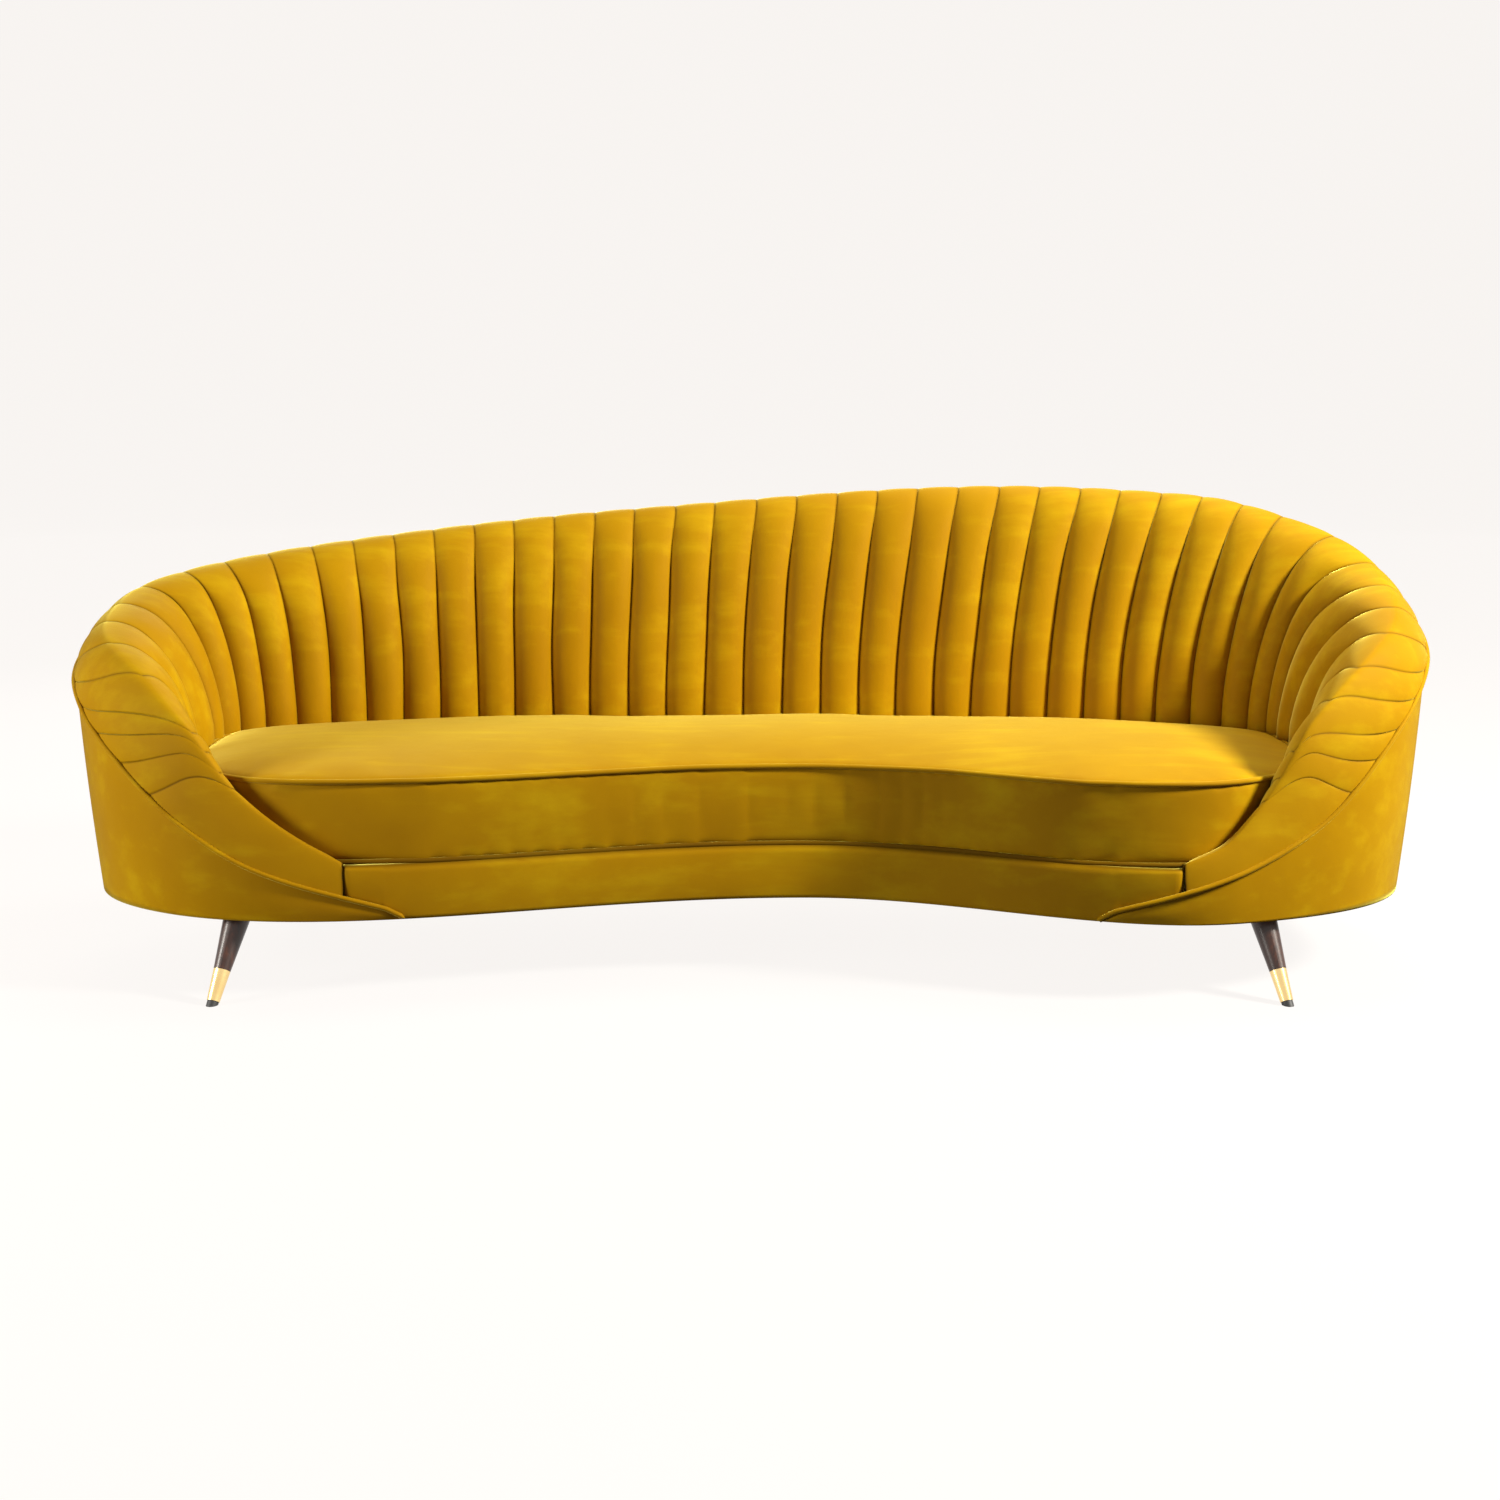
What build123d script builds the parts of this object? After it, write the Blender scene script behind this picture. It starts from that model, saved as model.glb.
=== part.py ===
from build123d import *
import math
import os

import numpy as np

# Curved channel-back sofa on four splayed legs. Millimetres, +Z up, +X to the sitter's left as seen
# from the front (the front faces -Y), floor at z = 0. The body is drawn along one closed outline in
# plan. A station w runs along it: 0 at the left front tip of the upholstered shell, round the back
# to 1 at the right front tip, and on across the curved front until it meets 0 again. Every piece
# that follows the body is given by offsets n outward from that outline and heights z.

# ---- plan outline of the body ----
HALF_WIDTH = 1194.0
SHOULDER_Y = 10.0
BACK_DEPTH = 410.0
FRONT_DEPTH = 517.0
BACK_POWER = 2.5
FRONT_POWER = 3.0
WAIST_DEPTH = 246.0
WAIST_X = 97.0
WAIST_REACH_LEFT = 1105.0
WAIST_REACH_RIGHT = 741.0
TIP_ANGLE = 68.0

# ---- heights ----
BODY_BOTTOM = 140.0
PLATE_T = 3.0
PLY_T = 18.0
BLOCK_H = 38.0
BORDER_TOP = 235.0
WELT_LEVEL = 381.0
CUSHION_CROWN = 22.0
CROWN_INSET = 70.0
WIRE_R = 1.9
CLIP_H = 6.0

# ---- thicknesses and fits ----
PANEL_T = 10.0
PAD_T = 40.0
SEAT_GAP = 0.3
SOFT_GAP = 1.0
RIB_GAP = 8.0
CORD_R = 5.0
CORD_GAP = 0.4

# ---- shell control values: (station, value), mirrored where only the left half is given ----
WELT_OUT = [(0, 2), (0.05, 4), (0.08, 9), (0.12, 20), (0.20, 36), (0.30, 38), (0.45, 20)]
RIDGE_OUT = [(0, -2), (0.05, -12), (0.08, -22), (0.12, -32), (0.20, -32), (0.30, -34), (0.45, -40)]
SEAT_OUT = [(0, -13), (0.05, -36), (0.08, -75), (0.12, -150), (0.20, -190), (0.30, -170), (0.45, -150)]
SEAT_RISE = [(0, 226), (0.05, 262), (0.08, 385), (0.12, 402), (0.20, 408), (0.45, 414)]
PAD_SHARE = [(0, 0.10), (0.05, 0.35), (0.08, 0.75), (0.12, 1.0), (0.45, 1.0)]
WELT_RISE = [(0, 158), (0.05, 229), (0.08, 305), (0.12, 436), (0.15, 510), (0.20, 568), (0.30, 635),
             (0.45, 697), (0.62, 744), (0.70, 722), (0.80, 618), (0.85, 545), (0.88, 455), (0.92, 299),
             (0.95, 231), (1, 158)]
RIDGE_RISE = [(0, 205), (0.02, 247), (0.04, 300), (0.06, 370), (0.08, 468), (0.12, 575), (0.20, 648),
              (0.30, 718), (0.45, 787), (0.62, 832), (0.70, 818), (0.76, 760), (0.80, 700), (0.88, 588),
              (0.92, 474), (0.94, 352), (0.96, 268), (0.975, 242), (1, 205)]

# ---- where the pieces along the shell start and end ----
SHELL_START = 0.016
SHELL_END = 0.9745
STEP = 0.02
PAD_ENDS = [SHELL_START, 0.07, 0.12, 0.18, 0.26, 0.38, 0.50, 0.62, 0.74, 0.82, 0.88, 0.93, SHELL_END]
PANEL_ENDS = [SHELL_START, 0.12, 0.26, 0.50, 0.74, 0.88, SHELL_END]
RIB_STATIONS = [0.135, 0.19, 0.26, 0.34, 0.42, 0.50, 0.58, 0.66, 0.74, 0.81, 0.865]
SPACER_STATIONS = [0.09, 0.17, 0.27, 0.36, 0.45, 0.55, 0.64, 0.73, 0.83, 0.91]
RIB_T = 18.0
RAIL_W = 22.0
RAIL_T = 18.0
RAIL_DROP = 27.0
RAIL_OUT = 5.0

# ---- springs and rails under the seat ----
SPRING_X = [-780, -520, -260, 0, 260, 520, 780]
SPRING_HALF_W = 24.0
SPRING_PITCH = 36.0
RING_BEARING = 50.0
CROSS_RAIL_X = [-640, 0, 640]
CROSS_RAIL_W = 32.0
CROSS_RAIL_INSET = 90.0
SPRING_BEARING = 18.0
CLIP_SIZE = (12.0, 9.0)
TIE_WIRE_Y = (-60, 60)
SPACER_SIDE = 50.0
SPACER_INSET = 52.0
LEG_BLOCK_SIDE = 60.0
LEG_BLOCK_SHIFT = 22.0
WINDOW_Y = 20.0
WINDOWS = [(-1040, 130, 300), (-380, 560, 330), (380, 560, 330), (1040, 130, 300)]

# ---- legs: (name, top x, top y, foot x, foot y) ----
LEGS = [
    ("front_left", -884, -369, -915, -450),
    ("front_right", 884, -369, 915, -450),
    ("rear_left", -838, 110, -866, 160),
    ("rear_right", 838, 110, 866, 160),
]
LEG_TOP_R = 23.5
FERRULE_TOP_R = 14.5
FOOT_R = 11.0
FERRULE_LEN = 62.0
FERRULE_WALL = 1.6
GLIDE_H = 5.0
PLATE_SIDE = 58.0
SCREW_INSET = 6.0
BOLT_R = 4.0
BOLT_HALF = 26.0
SCREW_R = 2.0
SCREW_LEN = 16.0
SCREW_HEAD_R = 4.2
SCREW_HEAD_H = 1.6

DECK_TOP = BODY_BOTTOM + PLATE_T + PLY_T + BLOCK_H + PLY_T
CUSHION_BOTTOM = BORDER_TOP + SOFT_GAP


def outline(angle):
    """Point of the plan outline: two superellipse halves, with a waist drawn into the front."""
    c, s = math.cos(angle), math.sin(angle)
    power = BACK_POWER if s >= 0 else FRONT_POWER
    x = HALF_WIDTH * math.copysign(abs(c) ** (2 / power), c)
    if s >= 0:
        return x, SHOULDER_Y + BACK_DEPTH * abs(s) ** (2 / power)
    y = SHOULDER_Y - FRONT_DEPTH * abs(s) ** (2 / power)
    reach = WAIST_REACH_LEFT if x < WAIST_X else WAIST_REACH_RIGHT
    share = abs(x - WAIST_X) / reach
    if share < 1:
        y += WAIST_DEPTH * math.cos(math.pi / 2 * share) ** 2
    return x, y


def outline_by_length():
    """The outline as points and lengths: from the left tip clockwise round the back and the front."""
    tip = math.radians(TIP_ANGLE)
    angles = np.linspace(2 * math.pi - (math.pi - tip), -(math.pi - tip), 9001)
    points = np.array([outline(a) for a in angles])
    lengths = np.concatenate([[0], np.cumsum(np.hypot(*np.diff(points, axis=0).T))])
    shell = np.interp(tip, -angles, lengths)
    return points, lengths / shell


POINTS, STATION = outline_by_length()
LOOP = STATION[-1]
MARKS = sorted({round(k * STEP, 6) for k in range(int(LOOP / STEP - 0.4) + 1)} | set(PAD_ENDS) | set(PANEL_ENDS))


def at(w):
    """Plan point and outward normal at station w, which wraps round the closed outline."""
    def point(v):
        v = v % LOOP
        return np.array([np.interp(v, STATION, POINTS[:, 0]), np.interp(v, STATION, POINTS[:, 1])])
    along = point(w + 0.004) - point(w - 0.004)
    along = along / np.hypot(*along)
    return point(w), np.array([-along[1], along[0]])


def smooth(table, w):
    """Monotone cubic through the (station, value) pairs, held level outside them."""
    if table[-1][0] < 1:
        w = min(w, 1 - w)
    xs = [p[0] for p in table]
    ys = [p[1] for p in table]
    if w <= xs[0]:
        return float(ys[0])
    if w >= xs[-1]:
        return float(ys[-1])
    slopes = [(b - a) / (q - p) for p, q, a, b in zip(xs, xs[1:], ys, ys[1:])]
    inner = [0.0 if a * b <= 0 else 2 * a * b / (a + b) for a, b in zip(slopes, slopes[1:])]
    ends = [slopes[0]] + inner + [0.0 if table[-1][0] < 1 else slopes[-1]]
    i = max(k for k in range(len(xs) - 1) if xs[k] <= w)
    span = xs[i + 1] - xs[i]
    t = (w - xs[i]) / span
    return (ys[i] * (2 * t ** 3 - 3 * t ** 2 + 1) + ys[i + 1] * (3 * t ** 2 - 2 * t ** 3)
            + span * (ends[i] * (t ** 3 - 2 * t ** 2 + t) + ends[i + 1] * (t ** 3 - t ** 2)))


def on_shell(w):
    """True on the arms and back, False across the open front."""
    return 0 <= w % LOOP <= 1


def seat_line(w):
    """Offset of the line where the cushion meets the shell or the front edge."""
    return smooth(SEAT_OUT, w % LOOP) if on_shell(w) else SEAT_OUT[0][1]


def pad_thickness(w):
    return PAD_T * smooth(PAD_SHARE, w)


def panel_outside(w, z):
    """Offset of the outside panel's face at height z: it leans out to the welt."""
    rise = smooth(WELT_RISE, w) - BODY_BOTTOM
    return smooth(WELT_OUT, w) * (z - BODY_BOTTOM) / rise


def stations(first, last):
    """Shared stations from first to last, so that neighbouring pieces have matching facets."""
    near = STEP / 20
    inner = [w for w in MARKS + [LOOP + w for w in MARKS] if first + near < w < last - near]
    return [first] + inner + [last]


def ring(offset, z):
    """Closed plan loop offset(w) away from the outline, at height z."""
    return [place(w, offset(w), z) for w in MARKS]


def place(w, n, z):
    p, normal = at(w)
    return (p[0] + normal[0] * n, p[1] + normal[1] * n, z)


def bezier(a, b, c, d, count):
    """Points of a cubic curve, without its first point."""
    ts = [k / count for k in range(1, count + 1)]
    return [tuple((1 - t) ** 3 * p + 3 * (1 - t) ** 2 * t * q + 3 * (1 - t) * t ** 2 * r + t ** 3 * s
                  for p, q, r, s in zip(a, b, c, d)) for t in ts]


def strip(sections):
    """Solid through closed (n, z) sections, each standing square to the outline at its station."""
    wires = [Wire.make_polygon([place(w, n, z) for n, z in section], close=True) for w, section in sections]
    return Solid.make_loft(wires, ruled=True)


def slab(offset, bottom, top):
    """Flat plate inside the closed outline, offset(w) away from it."""
    return extrude(Face(Wire.make_polygon(ring(offset, bottom), close=True)), top - bottom, dir=(0, 0, 1))


def cord(path, radius):
    """Six-sided cord through a list of points."""
    wires = []
    for k, point in enumerate(path):
        before = np.array(path[max(k - 1, 0)])
        after = np.array(path[min(k + 1, len(path) - 1)])
        along = (after - before) / np.linalg.norm(after - before)
        side = np.cross(along, (0, 0, 1))
        side = side / np.linalg.norm(side)
        up = np.cross(side, along)
        turns = [math.radians(60 * i) for i in range(6)]
        corners = [tuple(np.array(point) + radius * (math.cos(a) * side + math.sin(a) * up)) for a in turns]
        wires.append(Wire.make_polygon(corners, close=True))
    return Solid.make_loft(wires, ruled=True)


# ---- frame ----

def leg_axis(leg):
    _, tx, ty, fx, fy = leg
    top = Vector(tx, ty, BODY_BOTTOM)
    foot = Vector(fx, fy, 0)
    return top, foot, (foot - top).normalized()


def along_leg(leg, start, length, radius, end_radius=None):
    """Round bar or cone on the leg's axis, from start millimetres below its top."""
    top, _, down = leg_axis(leg)
    plane = Plane(origin=top + down * start, z_dir=down)
    if end_radius is None:
        return Solid.make_cylinder(radius, length, plane)
    return Solid.make_cone(radius, end_radius, length, plane)


def screw_spots(leg):
    top = leg_axis(leg)[0]
    reach = PLATE_SIDE / 2 - SCREW_INSET
    return [(top.X + i * reach, top.Y + j * reach) for i in (-1, 1) for j in (-1, 1)]


def base_panel():
    """Plywood base: windows between the cross rails, holes for the hanger bolts and plate screws."""
    bottom = BODY_BOTTOM + PLATE_T
    panel = slab(lambda w: -PANEL_T - SEAT_GAP, bottom, bottom + PLY_T)
    for x, width, depth in WINDOWS:
        panel -= Pos(x, WINDOW_Y, bottom + PLY_T / 2) * Box(width, depth, 2 * PLY_T)
    for leg in LEGS:
        panel -= along_leg(leg, -2 * BOLT_HALF, 2 * BOLT_HALF, BOLT_R + 1)
        for x, y in screw_spots(leg):
            panel -= Pos(x, y, bottom) * Cylinder(SCREW_R + 0.2, 2 * SCREW_LEN)
    return panel


def deck_ring():
    """Plywood ring that carries the springs, the back ribs and the feet of the channel pads."""
    plate = slab(lambda w: -PANEL_T - SEAT_GAP, DECK_TOP - PLY_T, DECK_TOP)
    return plate - slab(deck_hollow, DECK_TOP - 2 * PLY_T, DECK_TOP + PLY_T)


def deck_hollow(w):
    return seat_line(w) - RING_BEARING


def front_rail():
    bottom = BODY_BOTTOM + PLATE_T + PLY_T
    face = -PANEL_T - 2 * SEAT_GAP
    section = [(face, bottom), (face, bottom + BLOCK_H), (face - PLY_T, bottom + BLOCK_H), (face - PLY_T, bottom)]
    return strip([(w, section) for w in stations(SHELL_END, LOOP + SHELL_START)])


def block(w, n, size):
    p, normal = at(w)
    bottom = BODY_BOTTOM + PLATE_T + PLY_T
    spot = p + normal * n
    turn = math.degrees(math.atan2(normal[1], normal[0]))
    return (Pos(spot[0], spot[1], bottom + BLOCK_H / 2) * Rot(0, 0, turn) * Box(size, size, BLOCK_H)).solids()[0]


def spacer_blocks():
    return [block(w, -SPACER_INSET, SPACER_SIDE) for w in SPACER_STATIONS]


def leg_blocks():
    """Hardwood blocks over the legs, screwed to the base panel, bored for the hanger bolts."""
    bottom = BODY_BOTTOM + PLATE_T + PLY_T
    blocks = []
    for leg in LEGS:
        top = leg_axis(leg)[0]
        shift = 0 if top.Y > 0 else LEG_BLOCK_SHIFT
        size = (LEG_BLOCK_SIDE, LEG_BLOCK_SIDE, BLOCK_H - 2)
        body = Pos(top.X, top.Y + shift, bottom + size[2] / 2) * Box(*size)
        blocks.append((body - along_leg(leg, -2 * BOLT_HALF, 2 * BOLT_HALF, BOLT_R + 1)).solids()[0])
    return blocks


def hollow_span(x, offset):
    """Front and back y of the loop offset(w) at one x."""
    loop = ring(offset, 0)
    crossings = []
    for a, b in zip(loop, loop[1:] + loop[:1]):
        if (a[0] - x) * (b[0] - x) <= 0 and a[0] != b[0]:
            crossings.append(a[1] + (b[1] - a[1]) * (x - a[0]) / (b[0] - a[0]))
    return min(crossings), max(crossings)


def rail_back(w):
    """Back of the front rail, which the cross rails butt against."""
    return -PANEL_T - 3 * SEAT_GAP - PLY_T


def rail_end(w):
    return -CROSS_RAIL_INSET


def cross_rails():
    """Rails on edge from the front rail to the back of the base, under the springs."""
    bottom = BODY_BOTTOM + PLATE_T + PLY_T
    rails = []
    for x in CROSS_RAIL_X:
        sides = (x - CROSS_RAIL_W / 2, x + CROSS_RAIL_W / 2)
        front = max(hollow_span(side, rail_back)[0] for side in sides)
        back = min(hollow_span(side, rail_end)[1] for side in sides)
        size = (CROSS_RAIL_W, back - front, BLOCK_H - 4)
        rails.append(Pos(x, (front + back) / 2, bottom + size[2] / 2) * Box(*size))
    return Compound(rails)


def rib_top(w):
    return smooth(RIDGE_RISE, w) - pad_thickness(w) - RAIL_DROP - RAIL_T - RIB_GAP


def rail_bottom(w):
    """The top rail clears the upper edge of a square-cut rib where the ridge slopes."""
    shell_length = np.hypot(*np.diff(POINTS, axis=0).T).sum() / LOOP
    slope = abs(rib_top(w + 0.002) - rib_top(w - 0.002)) / (0.004 * shell_length)
    return rib_top(w) + 3 * SEAT_GAP + slope * RIB_T / 2


def rib(w):
    """Upright plywood rib: wide at the deck, narrow under the top rail."""
    inner = seat_line(w) + pad_thickness(w) + RIB_GAP
    ridge = smooth(RIDGE_OUT, w)
    top = rib_top(w)
    shoulder = min(smooth(WELT_RISE, w) - 30, top - 10)
    back = panel_outside(w, DECK_TOP) - PANEL_T - RIB_GAP / 2
    profile = [
        (inner, DECK_TOP),
        (inner, min(smooth(SEAT_RISE, w) - 30, top - 60)),
        (ridge + RAIL_OUT - RAIL_W, top),
        (ridge + RAIL_OUT, top),
        (min(panel_outside(w, shoulder) - PANEL_T - RIB_GAP, ridge + RAIL_OUT + RIB_GAP / 2), shoulder),
        (back, DECK_TOP),
    ]
    p, normal = at(w)
    across = Vector(normal[1], -normal[0], 0)
    face = Face(Wire.make_polygon([place(w, n, z) for n, z in profile], close=True))
    return extrude(face, RIB_T / 2, dir=across, both=True)


def top_rail():
    """Bent rail on the ribs, under the ridge."""
    first, last = RIB_STATIONS[0] - 0.006, RIB_STATIONS[-1] + 0.006
    sections = []
    for w in stations(first, last):
        right = smooth(RIDGE_OUT, w) + RAIL_OUT
        left = right - RAIL_W
        low = rail_bottom(w)
        high = low + RAIL_T
        sections.append((w, [(left, low), (left, high), (right, high), (right, low)]))
    return strip(sections)


# ---- springs ----

def spring_level():
    return DECK_TOP + CLIP_H / 2


def spring(x):
    """Sinuous spring: straight bars joined by half-round bends, its end bars on the deck ring."""
    front, back = hollow_span(x, deck_hollow)
    front, back = front - SPRING_BEARING, back + SPRING_BEARING
    turns = 2 * round((back - front) / SPRING_PITCH / 2)
    pitch = (back - front) / turns
    corners = []
    for k in range(turns + 1):
        side = 1 if k % 2 else -1
        corners.append((x - side * SPRING_HALF_W, front + k * pitch, spring_level()))
        corners.append((x + side * SPRING_HALF_W, front + k * pitch, spring_level()))
    path = FilletPolyline(*corners, radius=0.46 * pitch)
    start = Plane(origin=path @ 0, z_dir=path % 0)
    return sweep(start * Circle(WIRE_R), path=path)


def seat_springs():
    return Compound([spring(x).solids()[0] for x in SPRING_X])


def spring_clips():
    """Clips nailed to the deck ring, round the first and last bar of each spring."""
    clips = []
    for x in SPRING_X:
        front, back = hollow_span(x, deck_hollow)
        for y in (front - SPRING_BEARING, back + SPRING_BEARING):
            body = Pos(x, y, DECK_TOP + CLIP_H / 2) * Box(*CLIP_SIZE, CLIP_H)
            bore = Pos(x, y, spring_level()) * Rot(0, 90, 0) * Cylinder(WIRE_R + SEAT_GAP, 2 * CLIP_SIZE[0])
            clips.append((body - bore).solids()[0])
    return Compound(clips)


def tie_wires():
    """Two straight wires under the springs, which tie them side by side."""
    level = spring_level() - 2 * WIRE_R - SEAT_GAP
    length = SPRING_X[-1] - SPRING_X[0] + 2 * SPRING_HALF_W
    return Compound([Pos(0, y, level) * Rot(0, 90, 0) * Cylinder(WIRE_R, length).solid() for y in TIE_WIRE_Y])


# ---- upholstery ----

def deck_pad():
    """Felt and deck cloth over the springs, between the front border and the channel pads."""
    limit = -PANEL_T - 3
    return slab(lambda w: min(seat_line(w) - 3, limit), DECK_TOP + CLIP_H + SEAT_GAP, BORDER_TOP - SEAT_GAP)


def cushion_line(w):
    return seat_line(w) - SOFT_GAP


def inset_slab(inset, bottom, top):
    return slab(lambda w: cushion_line(w) - inset, bottom, top)


def seat_cushion():
    """Loose bench cushion: boxing between two rebates for the welts, then a low crown."""
    rebate = 2 * CORD_R + CORD_GAP
    block = inset_slab(rebate, CUSHION_BOTTOM, WELT_LEVEL)
    boxing = inset_slab(0, CUSHION_BOTTOM + rebate, WELT_LEVEL - rebate)
    edge = ring(lambda w: cushion_line(w) - rebate, WELT_LEVEL)
    crown = ring(lambda w: cushion_line(w) - CROWN_INSET, WELT_LEVEL + CUSHION_CROWN)
    rings = [Wire.make_polygon(loop, close=True) for loop in (edge, crown)]
    return block + boxing + Solid.make_loft(rings, ruled=True)


def seat_welt(bottom):
    """Covered cord in the cushion's rebate, drawn square."""
    return inset_slab(0, bottom, bottom + 2 * CORD_R) - inset_slab(2 * CORD_R, bottom - 1, bottom + 3 * CORD_R)


def front_border():
    face = [(0, BODY_BOTTOM), (0, BORDER_TOP), (-PANEL_T, BORDER_TOP), (-PANEL_T, BODY_BOTTOM)]
    ends = stations(SHELL_END + SEAT_GAP / 1000, LOOP + SHELL_START - SEAT_GAP / 1000)
    return strip([(w, face) for w in ends])


def pad_section(w):
    """Arch of the channelled pad: outside from the welt over the ridge, inside down to the deck."""
    t = pad_thickness(w)
    welt = (smooth(WELT_OUT, w), smooth(WELT_RISE, w) + SOFT_GAP)
    ridge = (smooth(RIDGE_OUT, w), smooth(RIDGE_RISE, w))
    seat = (seat_line(w), smooth(SEAT_RISE, w))
    foot = (seat[0], DECK_TOP + SEAT_GAP)
    belly = (welt[0] + 12 * smooth(PAD_SHARE, w), welt[1] + 0.6 * (ridge[1] - welt[1]))
    brow = (ridge[0] + 0.6 * (belly[0] - ridge[0]), ridge[1])
    drop = (ridge[0] - 0.6 * (ridge[0] - seat[0]), ridge[1])
    lean = (seat[0] + 0.1 * (ridge[0] - seat[0]), seat[1] + 0.5 * (ridge[1] - seat[1]))
    low = (foot[0] + t, foot[1])
    crest = (ridge[0], ridge[1] - t)
    heel = (min(seat[0] + t, crest[0] - 1), min(seat[1] - t / 2, crest[1] - 2))
    rim = (welt[0] - t / 2, min(welt[1] + t / 4, crest[1] - 1))
    outer = [welt] + bezier(welt, belly, brow, ridge, 4) + bezier(ridge, drop, lean, seat, 5)
    inner_drop = (crest[0] - 0.6 * (crest[0] - heel[0]), crest[1])
    inner_lean = (heel[0] + 0.1 * (crest[0] - heel[0]), heel[1] + 0.5 * (crest[1] - heel[1]))
    inside = [low, heel] + bezier(heel, inner_lean, inner_drop, crest, 3)
    return outer + [foot] + inside + [rim]


def channel_pad(first, last):
    gap = SEAT_GAP / 4000
    return strip([(w, pad_section(w)) for w in stations(first + gap, last - gap)])


def outside_panel(first, last):
    """Smooth outside cover on its stiffener, from the hem up to the welt."""
    gap = SEAT_GAP / 4000
    sections = []
    for w in stations(first + gap, last - gap):
        top = smooth(WELT_RISE, w)
        lean = panel_outside(w, top)
        sections.append((w, [(0, BODY_BOTTOM), (lean, top), (lean - PANEL_T, top), (-PANEL_T, BODY_BOTTOM)]))
    return strip(sections)


def outside_welt():
    path = []
    for w in stations(SHELL_START, SHELL_END):
        level = smooth(WELT_RISE, w)
        path.append(place(w, panel_outside(w, level) + CORD_R + SOFT_GAP, level))
    return cord(path, CORD_R)


def dust_cover():
    """Thin black cloth under the base, cut out round the leg plates."""
    bottom = BODY_BOTTOM + PLATE_T / 2
    cloth = slab(lambda w: -PANEL_T - 3, bottom, BODY_BOTTOM + PLATE_T)
    for leg in LEGS:
        top = leg_axis(leg)[0]
        cloth -= Pos(top.X, top.Y, bottom) * Box(PLATE_SIDE + 2, PLATE_SIDE + 2, 4 * PLATE_T)
    return cloth


# ---- legs ----

def leg_length(leg):
    top, foot, _ = leg_axis(leg)
    return (foot - top).length


def below(level):
    return Pos(0, 0, level - 500) * Box(4000, 4000, 1000)


def leg_wood(leg):
    """Turned taper with a spigot for the ferrule, bored for the hanger bolt."""
    run = leg_length(leg) - FERRULE_LEN
    grow = (LEG_TOP_R - FERRULE_TOP_R) / run * 20
    taper = along_leg(leg, -20, run + 20, LEG_TOP_R + grow, FERRULE_TOP_R)
    spigot = along_leg(leg, run, FERRULE_LEN - 8, FERRULE_TOP_R - FERRULE_WALL - 0.1, FOOT_R - FERRULE_WALL - 0.1)
    bore = along_leg(leg, -30, 30 + BOLT_HALF + 1, BOLT_R + 0.2)
    return (taper + spigot - bore) & below(BODY_BOTTOM)


def ferrule(leg):
    """Tapered brass sleeve on the end of the leg."""
    run = leg_length(leg) - FERRULE_LEN
    length = FERRULE_LEN - GLIDE_H - 2
    outer = along_leg(leg, run + SEAT_GAP, length, FERRULE_TOP_R, FOOT_R)
    inner = along_leg(leg, run, FERRULE_LEN - 8, FERRULE_TOP_R - FERRULE_WALL, FOOT_R - FERRULE_WALL)
    return outer - inner


def glide(leg):
    """Nylon glide under the ferrule, flat on the floor."""
    start = leg_length(leg) - GLIDE_H - 2 + 2 * SEAT_GAP
    return along_leg(leg, start, 4 * GLIDE_H, FOOT_R - 1.2) - below(0)


def plates():
    out = []
    for leg in LEGS:
        top = leg_axis(leg)[0]
        plate = Pos(top.X, top.Y, BODY_BOTTOM + PLATE_T / 2) * Box(PLATE_SIDE, PLATE_SIDE, PLATE_T)
        plate -= along_leg(leg, -20, 40, BOLT_R + 0.4)
        for x, y in screw_spots(leg):
            plate -= Pos(x, y, BODY_BOTTOM) * Cylinder(SCREW_R + 0.2, 4 * PLATE_T)
        out.append(plate.solids()[0])
    return Compound(out)


def hanger_bolts():
    return Compound([along_leg(leg, -BOLT_HALF, 2 * BOLT_HALF, BOLT_R) for leg in LEGS])


def plate_screws():
    screws = []
    for leg in LEGS:
        for x, y in screw_spots(leg):
            shank = Pos(x, y, BODY_BOTTOM + SCREW_LEN / 2) * Cylinder(SCREW_R, SCREW_LEN)
            head = Pos(x, y, BODY_BOTTOM - SCREW_HEAD_H / 2) * Cylinder(SCREW_HEAD_R, SCREW_HEAD_H)
            screws.append((shank + head).solids()[0])
    return Compound(screws)


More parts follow.
